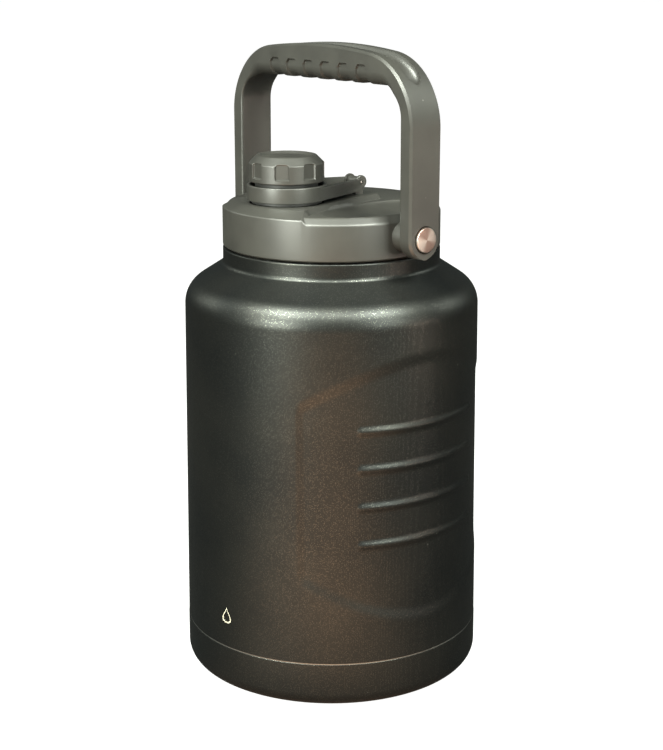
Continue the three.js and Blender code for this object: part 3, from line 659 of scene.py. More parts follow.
@dataclass(frozen=True)
class BrushedMetal(Finish):
    """Metal brushed along one axis or all ways in a plane, with cloudy roughness."""

    effects: Effects
    name: str
    dark: Colour
    light: Colour
    along_x: float = 1.0
    along_z: float = 0.05
    rough: float = 0.3

    def build(self) -> bpy.types.Material:
        """Builds the material."""
        material, n, shader = self.start()
        brush = self.effects.brush.place(n, Fine=1400.0, Along_X=self.along_x, Along_Z=self.along_z)
        n.feed(shader.inputs["Base Color"], self.shaded(n, brush.outputs["Streak"]))
        shader.inputs["Metallic"].default_value = 1.0
        cloud = n.times(brush.outputs["Cloud"], 0.1)
        n.feed(shader.inputs["Roughness"], n.plus(self.rough, cloud))
        self.raise_by(n, shader, brush.outputs["Streak"], 0.02, 0.6)
        return material


@dataclass(frozen=True)
class SpunDisc(Finish):
    """A steel disc spun against an abrasive: rays from its middle, and a banded highlight painted into its
    colour.

    The angle round the pivot is the arc tangent of height over depth. Noise along that angle shades the rays.
    A sine of twice the angle paints bright and dark highlight stripes into the colour in place of the disc's
    reflection. Fine rings follow the distance from the middle.
    """

    pivot: float
    name: str = "spun_steel_disc"
    # The dark and light shades are mixed by the rays and by the painted highlight stripes, so part of this
    # colour is a painted highlight and reflection.
    dark: Colour = (0.30, 0.17, 0.13)
    light: Colour = (0.86, 0.82, 0.76)

    def build(self) -> bpy.types.Material:
        """Builds the material."""
        material, n, shader = self.start()
        where = n.add("ShaderNodeTexCoord").outputs["Object"]
        centred = n.add("ShaderNodeMapping", Vector=where, Location=(0.0, 0.0, -self.pivot * MM))
        parts = n.add("ShaderNodeSeparateXYZ", Vector=centred.outputs[0])
        angle = n.math("ARCTAN2", parts.outputs["Z"], parts.outputs["Y"])
        flat = n.add("ShaderNodeCombineXYZ", Y=parts.outputs["Y"], Z=parts.outputs["Z"])
        distance = n.add("ShaderNodeVectorMath", operation="LENGTH", Vector=flat.outputs[0]).outputs["Value"]
        ray = n.add("ShaderNodeCombineXYZ", X=n.math("COSINE", angle), Y=n.math("SINE", angle))
        rays = n.noise(ray.outputs[0], 9.0, 5.0, 0.75)
        # Painted highlight: bright and dark stripes, set by the angle round the pivot, painted into the base
        # colour.
        painted_highlight_stripes = n.span(n.math("SINE", n.plus(n.times(angle, 2.0), 0.7)), -0.7, 0.9)
        # The shade mixes the rays' own tone with the painted highlight stripes.
        shade = n.plus(n.times(painted_highlight_stripes, 0.65), n.times(rays, 0.5), clamp=True)
        rings = n.math("SINE", n.times(distance, 26000.0))
        n.feed(shader.inputs["Base Color"], self.shaded(n, shade))
        shader.inputs["Metallic"].default_value = 1.0
        n.feed(shader.inputs["Roughness"], n.minus(0.38, n.times(rays, 0.14)))
        self.raise_by(n, shader, n.plus(n.times(rings, 0.3), rays), 0.012, 0.5)
        return material


@dataclass(frozen=True)
class Soft(Finish):
    """Silicone, rubber and foam: a soft skin with faint mottling."""

    effects: Effects
    name: str
    dark: Colour
    light: Colour
    rough: float
    pebble: float = 900.0
    depth: float = 0.06

    def build(self) -> bpy.types.Material:
        """Builds the material."""
        material, n, shader = self.start()
        grain = self.effects.grain.place(n, Pebble=self.pebble, Coarse=0.3, Patch=60.0)
        n.feed(shader.inputs["Base Color"], self.shaded(n, grain.outputs["Mottle"]))
        n.feed(shader.inputs["Roughness"], n.plus(self.rough, n.times(grain.outputs["Height"], 0.12)))
        self.raise_by(n, shader, grain.outputs["Height"], self.depth, 0.6)
        return material


@dataclass(frozen=True)
class PrintedInk(Finish):
    """Pale ink printed on the coat, with the coat's peel showing through."""

    effects: Effects
    name: str = "printed_ink"
    dark: Colour = (0.50, 0.47, 0.37)
    light: Colour = (0.66, 0.62, 0.50)

    def build(self) -> bpy.types.Material:
        """Builds the material."""
        material, n, shader = self.start()
        grain = self.effects.grain.place(n, Pebble=1300.0, Coarse=0.3, Patch=120.0)
        n.feed(shader.inputs["Base Color"], self.shaded(n, grain.outputs["Mottle"]))
        n.feed(shader.inputs["Roughness"], n.plus(0.45, n.times(grain.outputs["Height"], 0.1)))
        self.raise_by(n, shader, grain.outputs["Height"], 0.06, 0.5)
        return material


@dataclass
class Palette:
    """Every material of the jug, by its slot."""

    sizes: Frame
    effects: Effects = field(default_factory=Effects)
    ink: bpy.types.Material = field(init=False)
    by_slot: dict[Slot, bpy.types.Material] = field(init=False)

    def __post_init__(self) -> None:
        """Builds the materials."""
        e = self.effects
        finishes: dict[Slot, Finish] = {
            Slot.POWDER: PowderCoat(e),
            Slot.SATIN: MouldedPlastic(e, "satin_plastic_grey", (0.024, 0.023, 0.020), (0.038, 0.037, 0.032)),
            Slot.INNER: MouldedPlastic(e, "inner_plastic_dark", (0.018, 0.018, 0.017), (0.030, 0.030, 0.028),
                                       rough=0.5),
            Slot.STEEL: BrushedMetal(e, "stainless_steel", (0.42, 0.41, 0.39), (0.62, 0.61, 0.58)),
            Slot.DISC: SpunDisc(self.sizes.pivot),
            Slot.BRASS: BrushedMetal(e, "turned_brass", (0.50, 0.34, 0.13), (0.70, 0.50, 0.21),
                                     along_x=0.05, along_z=1.0),
            Slot.SILICONE: Soft(e, "silicone_pale", (0.52, 0.52, 0.50), (0.63, 0.63, 0.60), 0.45),
            Slot.RUBBER: Soft(e, "rubber_black", (0.012, 0.012, 0.012), (0.024, 0.023, 0.022), 0.7),
            Slot.FOAM: Soft(e, "foam_cream", (0.70, 0.67, 0.58), (0.82, 0.80, 0.71), 0.9,
                            pebble=500.0, depth=0.3),
        }
        self.by_slot = {slot: finish.build() for slot, finish in finishes.items()}
        self.ink = PrintedInk(e).build()

    def dress(self, piece: Piece, body: Body, slot: Slot, *nodes: str) -> None:
        """Gives a piece its material, the body that it rides on and the frame nodes that it stands for.

        Args:
            piece: the finished piece.
            body: the body that carries it.
            slot: its material slot.
            nodes: frame nodes that it replaces.
        """
        piece.data.materials.clear()
        piece.data.materials.append(self.by_slot[slot])
        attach(piece, body.value)
        if nodes:
            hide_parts(*nodes)
        count = sum(len(face.vertices) - 2 for face in piece.data.polygons)
        LOG.info("%s: %d triangles on %s", piece.name, count, body.value)

    def dress_frame(self) -> None:
        """Gives every frame node that is still shown the material of its slot."""
        for part in frame["record"]["subparts"]:
            node = frame["nodes"][part["node"]]
            node.data.materials.clear()
            node.data.materials.append(self.by_slot[Slot(part["material_slot"])])


# ------------------------------------------------------------------------------ body
@dataclass
class JugBody:
    """The steel body: coated outer wall with pressed grip panels, base cup, liner and foot."""

    sizes: Frame
    draft: float = 1.1
    sheet: float = 1.2
    vacuum: float = 3.5
    neck_height: float = 6.84
    neck_fillet: float = 3.0
    rim_round: float = 1.5
    shoulder_r: float = 16.0
    shoulder_turn: float = math.radians(57)
    panel_depth: float = 0.9
    panel_head: float = 12.4
    panel_foot: float = 18.4
    panel_rise: float = 23.9
    panel_half: float = 63.5
    arch_slope: float = 8.0
    side_slope: float = 3.0
    rib_count: int = 4
    rib_pitch: float = 20.2
    rib_raise: float = 3.0
    rib_width: float = 4.6
    rib_half: float = 40.0
    cup_corner: float = 8.2
    liner_corner: float = 10.0
    foot_width: float = 18.0

    def __post_init__(self) -> None:
        """Works out the levels that follow from the sizes."""
        top_r = self.sizes.body_r - self.draft
        bends = self.shoulder_r + self.neck_fillet
        slope = top_r - self.sizes.lid_r - bends * (1 - math.cos(self.shoulder_turn))
        self.fillet_z = self.sizes.rim - self.neck_height
        self.shoulder_z = (self.fillet_z - bends * math.sin(self.shoulder_turn)
                           - slope / math.tan(self.shoulder_turn))

    def wall(self, inset: float, low: float, high: float) -> np.ndarray:
        """The wall's outline, moved inwards: a draughted straight, shoulder arc, slope, fillet and neck.

        Args:
            inset: how far inside the outer face it lies.
            low: lowest level.
            high: highest level.

        Returns:
            Points of (radius, height), going up.
        """
        body_r, neck_r = self.sizes.body_r, self.sizes.lid_r
        over = np.linspace(0, self.shoulder_turn, 17)
        back = over[::-2]
        hub, r = body_r - self.draft - self.shoulder_r, self.shoulder_r - inset
        shoulder = np.stack([hub + r * np.cos(over), self.shoulder_z + r * np.sin(over)], axis=1)
        f = self.neck_fillet + inset
        fillet = np.stack([neck_r + self.neck_fillet - f * np.cos(back),
                           self.fillet_z - f * np.sin(back)], axis=1)
        start = (body_r - self.draft * low / self.shoulder_z - inset, low)
        return np.vstack([[start], shoulder, fillet, [(neck_r - inset, high)]])

    def panel_mask(self, y: np.ndarray, z: np.ndarray) -> np.ndarray:
        """How deep the grip panel is pressed, from 0 to 1.

        The arched top and foot are circle arcs through the panel's corners. The mask rises smoothly with
        the height inside each arch, over a wide slope, and with the distance from the upright edges.
        """
        arch_r = (self.panel_half**2 + self.panel_rise**2) / (2 * self.panel_rise)
        sag = arch_r - np.sqrt(np.maximum(arch_r**2 - y**2, 0))
        top = self.shoulder_z - self.panel_head - sag - z
        foot = z - (self.sizes.seam_high + self.panel_foot + sag)
        side = self.panel_half - np.abs(y)
        arches = smooth_step(top / self.arch_slope) * smooth_step(foot / self.arch_slope)
        return arches * smooth_step(side / self.side_slope)

    def ribs(self, y: np.ndarray, z: np.ndarray) -> np.ndarray:
        """Height of the ribs, from 0 to 1: a round crest about four level lines with round ends.

        The distance from a line's nearest point, over the half width, gives the cosine-shaped crest.
        """
        panel_middle = (self.shoulder_z - self.panel_head + self.sizes.seam_high + self.panel_foot) / 2
        middle = panel_middle + self.rib_raise
        levels = middle + (np.arange(self.rib_count) - (self.rib_count - 1) / 2) * self.rib_pitch
        rise = np.abs(z[..., None] - levels).min(axis=-1)
        past = np.maximum(np.abs(y) - (self.rib_half - self.rib_width / 2), 0)
        share = np.clip(np.hypot(rise, past) / (self.rib_width / 2), 0, 1)
        return np.sqrt(1 - share**2) * 0.4 + np.cos(share * math.pi / 2) ** 2 * 0.6

    def shell(self) -> Piece:
        """The outer shell, with its panels pressed through the sheet and the ribs raised on them."""
        s = self.sizes
        bend = s.rim - self.rim_round
        outer = self.wall(0, s.seam_high, bend)
        lip_r = s.lid_r - self.sheet - self.vacuum + GAP
        over = rounded([tuple(outer[-1]), (s.lid_r, s.rim, self.rim_round - 0.01), (lip_r, s.rim),
                        (lip_r, bend), (s.lid_r - self.sheet, bend)], steps=8)
        inner = self.wall(self.sheet, s.seam_high, bend)[::-1]
        fine = dense(outer[:2], 1.1)
        path = np.vstack([fine, outer[2:], over[1:], inner[1:-1], dense(inner[-2:], 6.0)[1:]])
        ends = math.degrees(math.asin(self.rib_half / s.body_r))
        edge = math.degrees(math.asin(self.panel_half / s.body_r))
        spans = [(side + sign * at, half, 0.35) for side in (0, 180) for sign in (-1, 1)
                 for at, half in ((ends, 2.4), (edge, 3.0))]
        points = revolved(path, turns(240, *spans))
        y, z = points[..., 1], points[..., 2]
        outside = (np.arange(len(path)) < len(outer) + len(fine))[:, None]
        pressed = -self.panel_depth * self.panel_mask(y, z)
        raised = self.panel_depth * self.ribs(y, z) * (self.panel_mask(y, z) > 0.99) * outside
        rise = (pressed + raised) * (z < self.shoulder_z)
        return piece_of("jug_shell", widened(points, 0, rise), ring=True)

    def cup(self) -> Piece:
        """The base cup: flat floor with a recess for the foot ring, round corner and upright wall."""
        s, low = self.sizes, corners("base_cup")[0][2]
        pad = corners("foot_pad")
        pad_out = pad[1][0] + GAP
        pad_in = pad_out - self.foot_width - 2 * GAP
        seat = pad[1][2] + GAP
        floor = seat + self.sheet
        path = rounded([
            (0, low), (pad_in, low, 0.3), (pad_in, seat), (pad_out, seat), (pad_out, low, 0.3),
            (s.body_r, low, self.cup_corner), (s.body_r, s.seam_low, 0.25),
            (s.body_r - self.sheet, s.seam_low),
            (s.body_r - self.sheet, floor, self.cup_corner - self.sheet), (0, floor),
        ], steps=10)
        return lathe("base_cup_skin", path, turns(240))

    def weld(self) -> Piece:
        """The fine bright weld line between the shell and the cup."""
        s = self.sizes
        low, high, out = s.seam_low, s.seam_high, s.body_r - 0.2
        path = rounded([(out - 1, low), (out, low), (out, high), (out - 1, high)], closed=True)
        return lathe("weld_line", path, turns(240))

    def foot(self) -> Piece:
        """The rubber foot ring, with rounded edges and three shallow grooves in its underside."""
        outer, _, top = corners("foot_pad")[1]
        inner = outer - self.foot_width
        width = (outer - inner) / 7
        path: list[tuple[float, ...]] = [(inner, top), (inner, 0, 0.5)]
        for k in (1, 3, 5):
            left, right = inner + k * width, inner + (k + 1) * width
            path += [(left, 0, 0.2), (left, 0.6, 0.2), (right, 0.6, 0.2), (right, 0, 0.2)]
        path += [(outer, 0, 0.5), (outer, top)]
        return lathe("foot_ring", rounded(path, closed=True, steps=3), turns(180))

    def liner(self) -> Piece:
        """The steel liner, with the female thread rolled into its mouth."""
        s, inset = self.sizes, self.sheet + self.vacuum
        box = corners("inner_liner")
        floor, top = box[0][2], box[1][2]
        outer = self.wall(inset, floor + self.liner_corner, top)
        inner = self.wall(inset + self.sheet, floor + self.liner_corner, top)[::-1]
        path = np.vstack([
            rounded([(0, floor), (outer[0][0], floor, self.liner_corner), tuple(outer[0])], steps=8)[:-1],
            outer,
            dense(inner[:2], 0.45), inner[2:-1],
            rounded([tuple(inner[-1]), (inner[-1][0], floor + self.sheet, self.liner_corner - self.sheet),
                     (0, floor + self.sheet)], steps=8),
        ])
        points = revolved(path, turns(180))
        wall_r = s.lid_r - inset - self.sheet
        in_mouth = np.abs(path[:, 0] - wall_r)[:, None] < 0.05
        rise = thread(points, 0, s.rim - LID_THREAD_DROP, LID_THREAD_TURNS, -1.0) * in_mouth
        return piece_of("liner_skin", widened(points, 0, rise), poles=True)

    def mark(self) -> Piece:
        """A plain drop outline, printed near the seam.

        Round the drop, the half width is half its size times the sine of the angle times one less the
        cosine, over two; the band has an outer and an inner edge, and is wrapped on the wall.
        """
        at, height, width, band, print_h = math.radians(-83.5), 9.5, 6.4, 0.72, 0.06
        z0 = self.sizes.seam_high + 17.5
        a = np.linspace(0, 2 * math.pi, 97)[:-1]
        rows = []
        for shrink, lift in ((0, 0), (0, print_h), (band, print_h), (band, 0)):
            reach, half = height / 2 - shrink * 1.15, width / 2 - shrink
            across = half * np.sin(a) * (1 - np.cos(a)) / 1.3
            up = z0 + reach * 0.92 * np.cos(a)
            wall_r = self.sizes.body_r - self.draft * up / self.shoulder_z + lift - 0.02
            turn = at + across / self.sizes.body_r
            rows.append(np.stack([wall_r * np.cos(turn), wall_r * np.sin(turn), up], axis=-1))
        return piece_of("drop_mark", np.array(rows), ring=True)

    def build(self, palette: Palette) -> None:
        """Builds and dresses the body's pieces."""
        palette.dress(self.shell(), Body.JUG, Slot.POWDER, "outer_shell")
        palette.dress(self.cup(), Body.JUG, Slot.POWDER, "base_cup")
        palette.dress(self.weld(), Body.JUG, Slot.STEEL)
        palette.dress(self.foot(), Body.JUG, Slot.RUBBER, "foot_pad")
        palette.dress(self.liner(), Body.JUG, Slot.STEEL, "inner_liner")
        mark = self.mark()
        palette.dress(mark, Body.JUG, Slot.SATIN)
        mark.data.materials.clear()
        mark.data.materials.append(palette.ink)


# ------------------------------------------------------------------------------ lid
@dataclass
class Lid:
    """The screw lid: shell with its high front, spine and dishes, plug, seal, spout and pivot bosses."""

    sizes: Frame
    bevel: float = 0.8
    wall: float = 3.0
    side_height: float = 19.0
    back_rise: float = 3.7
    back_inset: float = 3.4
    front_step: float = 2.4
    front_rise: float = 4.0
    front_inset: float = 7.4
    front_half: float = 35.5
    spine_half: float = 12.5
    spine_chamfer: float = 2.4
    spine_tail: float = 13.4
    dish_depth: float = 5.2
    dish_drop: float = 2.0
    dish_to_spine: float = 4.0
    dish_to_side: float = 3.9
    dish_to_back: float = 9.4
    dish_to_front: float = 23.4
    dish_turn: float = math.radians(3)
    edge_round: float = 0.7
    boss_r: float = 8.0
    boss_bore: float = 4.7
    seat_depth: float = 4.0
    spout_wall: float = 2.4
    collar: float = 1.9
    plug_r: float = 50.0
    plug_wall: float = 2.2
    plug_floor: float = 2.5

    def __post_init__(self) -> None:
        """Works out the levels that follow from the sizes."""
        self.back_side = self.sizes.lid_low + self.side_height
        self.back_top = self.back_side + self.back_rise
        self.front_side = self.back_side + self.front_step
        self.top = self.front_side + self.front_rise
        self.dish_z = self.top - self.dish_drop
        self.ceiling = self.dish_z - self.dish_depth - self.wall
        self.spout_r = corners("spout")[1][0] - self.collar
        self.seat_r = corners("cap_keeper")[1][0] + RUN + GAP - 0.1

    def inside_plan(self, x: np.ndarray, y: np.ndarray) -> np.ndarray:
        """Distance inside the plan of the high front and spine, negative outside.

        The nearest point of each side of the outline is found by projecting on it, and a ray count
        tells inside from outside.
        """
        s = self.sizes
        front = -math.sqrt(s.lid_r**2 - self.front_half**2)
        waist = corners("tether_arm")[1][0] + 3
        tail = s.hinge_y + self.spine_tail
        half = [
            (self.front_half + 8, front - 22), (self.front_half, front), (self.front_half - 7, front + 9),
            (waist, s.spout_y + 4), ((waist + self.spine_half) / 2, s.hinge_y - 20.6),
            (self.spine_half, s.hinge_y), (self.spine_half * 0.8, tail - 3), (self.spine_half * 0.4, tail),
        ]
        both = half + [(-px, py) for px, py in half[::-1]]
        path = rounded([(px, py, 4.0) for px, py in both], closed=True)
        a, b = path, np.roll(path, -1, axis=0)
        p = np.stack([x, y], axis=-1)[..., None, :]
        along = np.clip(((p - a) * (b - a)).sum(-1) / ((b - a) ** 2).sum(-1), 0, 1)
        distance = np.linalg.norm(p - (a + along[..., None] * (b - a)), axis=-1).min(-1)
        crosses = (a[:, 1] > p[..., 1]) != (b[:, 1] > p[..., 1])
        rise = np.where(np.abs(b[:, 1] - a[:, 1]) < TINY, TINY, b[:, 1] - a[:, 1])
        hits = crosses & (p[..., 0] < (b[:, 0] - a[:, 0]) * (p[..., 1] - a[:, 1]) / rise + a[:, 0])
        return np.where(hits.sum(-1) % 2 == 1, distance, -distance)

    def height(self, x: np.ndarray, y: np.ndarray) -> np.ndarray:
        """Height of the lid's top: the larger of a low lid and a high front, less the two dishes.

        Each level is the smaller of a flat and a slope up from the side. The high one also falls off as
        a chamfer at the edge of its plan. A dish is the lower half of a stretched and turned ball.
        """
        edge = np.maximum(self.sizes.lid_r - np.hypot(x, y), 0)
        low = soft_min(self.back_side + edge * self.back_rise / self.back_inset, self.back_top + 0 * x, 0.5)
        high = soft_min(self.front_side + edge * self.front_rise / self.front_inset, self.top + 0 * x, 0.6)
        inside = self.inside_plan(x, y)
        drop = np.where(inside < 0, -inside * 3, 0)
        lip = self.top - self.spine_chamfer + inside - drop
        rim_lip = high - np.maximum(self.spine_chamfer - inside, 0) - drop
        out = soft_max(low, soft_min(high, np.minimum(lip, rim_lip), 0.5), 0.4)
        inner, outer = self.spine_half + self.dish_to_spine, self.sizes.lid_r - self.dish_to_side
        half_y = self.sizes.lid_r - (self.dish_to_back + self.dish_to_front) / 2
        mid_x, mid_y = (outer + inner) / 2, (self.dish_to_front - self.dish_to_back) / 2
        for side in (-1, 1):
            dx, dy = x - side * mid_x, y - mid_y
            turn = side * self.dish_turn
            u = (dx * math.cos(turn) + dy * math.sin(turn)) * 2 / (outer - inner)
            v = (dy * math.cos(turn) - dx * math.sin(turn)) / half_y
            q = np.hypot(u, v)
            ball = self.dish_depth * np.sqrt(np.maximum(1 - q**2, 0))
            bowl = self.dish_z - ball + np.maximum(q - 1, 0) * 90
            out = soft_min(out, bowl, 0.35)
        return out

    def shell(self) -> Piece:
        """The lid's shell: the top as a height over a disc, then the side, the bevel and the cavity."""
        s = self.sizes
        around = turns(620, *[(side, 4.0, 0.2) for side in (-129, -51)])
        e = self.edge_round
        radii = np.concatenate([np.linspace(0, 14, 12), np.linspace(14, s.lid_r - e, 104)[1:]])
        flat = np.stack([radii, 0 * radii], axis=1)
        top = revolved(flat, around)
        top[..., 2] = self.height(top[..., 0], top[..., 1])
        unit = np.stack([np.cos(around), np.sin(around)], axis=-1)
        rim_xy = unit * (s.lid_r - 0.01)
        corner = self.height(rim_xy[:, 0], rim_xy[:, 1])
        t = np.linspace(0, 1, 6)[1:, None]
        edge_r = (1 - t) ** 2 * (s.lid_r - e) + 2 * t * (1 - t) * s.lid_r + t**2 * s.lid_r
        edge_z = (1 - t) ** 2 * top[-1, :, 2] + 2 * t * (1 - t) * corner + t**2 * (corner - e)
        edge = np.stack([edge_r * unit[:, 0], edge_r * unit[:, 1], edge_z], axis=-1)
        cavity = s.lid_r - self.wall
        under = rounded([(s.lid_r, s.lid_low + 6), (s.lid_r, s.lid_low + self.bevel, 0.3),
                         (s.lid_r - self.bevel, s.lid_low, 0.3), (cavity, s.lid_low, 0.2),
                         (cavity, self.ceiling, 0.5), (0, self.ceiling)])
        points = np.concatenate([top, edge, revolved(under, around)])
        lid = piece_of("lid_skin", points, poles=True)
        for side in (-1, 1):
            out = rounded([(0, cavity - 3), (self.boss_r, cavity - 3), (self.boss_r, s.boss_x, 0.5),
                           (0, s.boss_x)])
            carve(lid, cross_lathe("boss", out, turns(96), side, 0, s.pivot), Cut.JOIN)
            hole = drum(self.boss_bore, s.boss_x - 10.3, s.boss_x + 1)
            carve(lid, cross_lathe("hole", hole, turns(48), side, 0, s.pivot), Cut.AWAY)
        floor = self.top - self.seat_depth
        seat = np.array([(0, floor), (self.seat_r, floor), (self.seat_r, self.top - 0.5),
                         (self.seat_r + 0.7, self.top + 0.2), (0, self.top + 0.2)])
        carve(lid, lathe("seat", seat, turns(144), s.spout_y), Cut.AWAY)
        way = drum(self.spout_r + GAP, self.ceiling - 1, self.top)
        carve(lid, lathe("way", way, turns(96), s.spout_y), Cut.AWAY)
        carve(lid, self.ear(), Cut.JOIN)
        carve(lid, pin_bore(s), Cut.AWAY)
        return lid

    def ear(self) -> Piece:
        """The upright ear that holds the hinge pin: straight sides under a round top, across the hinge."""
        s, r, half = self.sizes, 2.7, 3.6
        a = np.linspace(0, math.pi, 25)
        y = np.concatenate([r * np.cos(a), [-r, -r, r, r]])
        foot = self.ceiling + 1.5 - s.hinge_z
        z = np.concatenate([r * np.sin(a), [-1, foot, foot, -1]])
        slices = ((-half, 0), (-half, 0.96), (0.25 - half, 1), (half - 0.25, 1), (half, 0.96), (half, 0))
        rows = [np.stack([0 * y + x, s.hinge_y + y * k, s.hinge_z + z * k], axis=-1) for x, k in slices]
        return piece_of("ear", np.array(rows), poles=True)

    def plug(self) -> Piece:
        """The lid's inner half: a threaded cup with a flange, open where the spout comes through."""
        s = self.sizes
        low, high = corners("lid_plug")
        bottom, top, flange = low[2], high[2], high[0]
        r, wall, floor = self.plug_r, self.plug_wall, bottom + self.plug_floor
        side = dense(np.array([(r, bottom + 1.2), (r, top - 3.6)]), 0.45)
        path = np.vstack([
            rounded([(0, bottom), (r, bottom, 1.2), (r, bottom + 2)])[:-1], side,
            rounded([(r, top - 3), (r, top - 2.2, 0.3), (flange, top - 2.2, 0.3), (flange, top, 0.3),
                     (r - wall, top, 0.3), (r - wall, floor, 1.0), (0, floor)]),
        ])
        points = revolved(path, turns(180))
        on_side = (np.abs(path[:, 0] - r) < 0.02)[:, None]
        rise = thread(points, 0, s.rim - LID_THREAD_DROP, LID_THREAD_TURNS, 1.0) * on_side
        plug = piece_of("plug_skin", widened(points, 0, rise), poles=True)
        bore = drum(self.spout_r - self.spout_wall, bottom - 1, floor + 1)
        carve(plug, lathe("bore", bore, turns(96), s.spout_y), Cut.AWAY)
        return plug

    def spout(self) -> Piece:
        """The drinking spout: a tube with a collar, a fine thread and a full round lip."""
        s, r = self.sizes, self.spout_r
        foot, lip = corners("spout")[0][2], self.spout_wall / 2
        collar = self.top - self.seat_depth + GAP
        wide = r + self.collar
        outer = rounded([(r, foot), (r, collar), (wide, collar, 0.3), (wide, collar + 1.5, 0.4),
                         (r, collar + 1.5, 0.3), (r, collar + 3)])
        round_lip = np.linspace(0, math.pi, 19)
        over = np.stack([r - lip + lip * np.cos(round_lip),
                         s.spout_top - lip + lip * np.sin(round_lip)], axis=1)
        threaded = dense(np.vstack([outer[-1:], over[:1]]), 0.4)[1:-1]
        path = np.vstack([outer, threaded, over, [(r - 2 * lip, foot)]])
        points = revolved(path, turns(144), s.spout_y)
        on_wall = (np.abs(path[:, 0] - r) < 0.02)[:, None]
        rise = thread(points, s.spout_y, s.spout_top - CAP_THREAD_DROP, CAP_THREAD_TURNS, 0.4) * on_wall
        return piece_of("spout_skin", widened(points, s.spout_y, rise), ring=True)

    def gasket(self) -> Piece:
        """The large seal: a flat ring with two soft lips."""
        low, high = corners("lid_gasket")
        outer, inner, z0, z1 = high[0], 50.6, low[2], high[2]
        mid = (outer + inner) / 2
        path = rounded([(inner, z0, 0.5), (mid, z0 + 0.25, 0.6), (outer, z0, 0.5), (outer, z1, 0.5),
                        (mid, z1 - 0.25, 0.6), (inner, z1, 0.5)], closed=True, steps=4)
        return lathe("seal_ring", path, turns(180))

    def disc(self, side: int, label: str) -> Piece:
        """A pin's steel cap: a shallow dome with a turned edge, standing proud of the leg."""
        low, high = corners(f"{label}_pin_cap")
        r, inner, outer = high[1], min(abs(low[0]), abs(high[0])), max(abs(low[0]), abs(high[0]))
        path = rounded([(0, inner), (r, inner), (r, outer - 0.15, 0.35), (r - 0.9, outer - 0.12, 0.3),
                        (0, outer)])
        return cross_lathe(f"{label}_pin_disc", path, turns(144), side, 0, self.sizes.pivot)

    def pin(self) -> Piece:
        """The tether's hinge pin, with domed ends."""
        low, high = corners("hinge_pin")
        r, half = (high[2] - low[2]) / 2, high[0]
        path = rounded([(0, -half), (r, -half, 0.3), (r, half, 0.3), (0, half)])
        return cross_lathe("hinge_pin_skin", path, turns(48), 1, self.sizes.hinge_y, self.sizes.hinge_z)

    def build(self, palette: Palette) -> None:
        """Builds and dresses the lid's pieces."""
        palette.dress(self.shell(), Body.LID, Slot.SATIN, "lid_shell")
        palette.dress(self.plug(), Body.LID, Slot.INNER, "lid_plug")
        palette.dress(self.spout(), Body.LID, Slot.SATIN, "spout")
        palette.dress(self.gasket(), Body.LID_SEAL, Slot.SILICONE, "lid_gasket")
        palette.dress(self.pin(), Body.LID, Slot.STEEL, "hinge_pin")
        for side, label in ((-1, "left"), (1, "right")):
            palette.dress(self.disc(side, label), Body.LID, Slot.DISC, f"{label}_pin_cap")


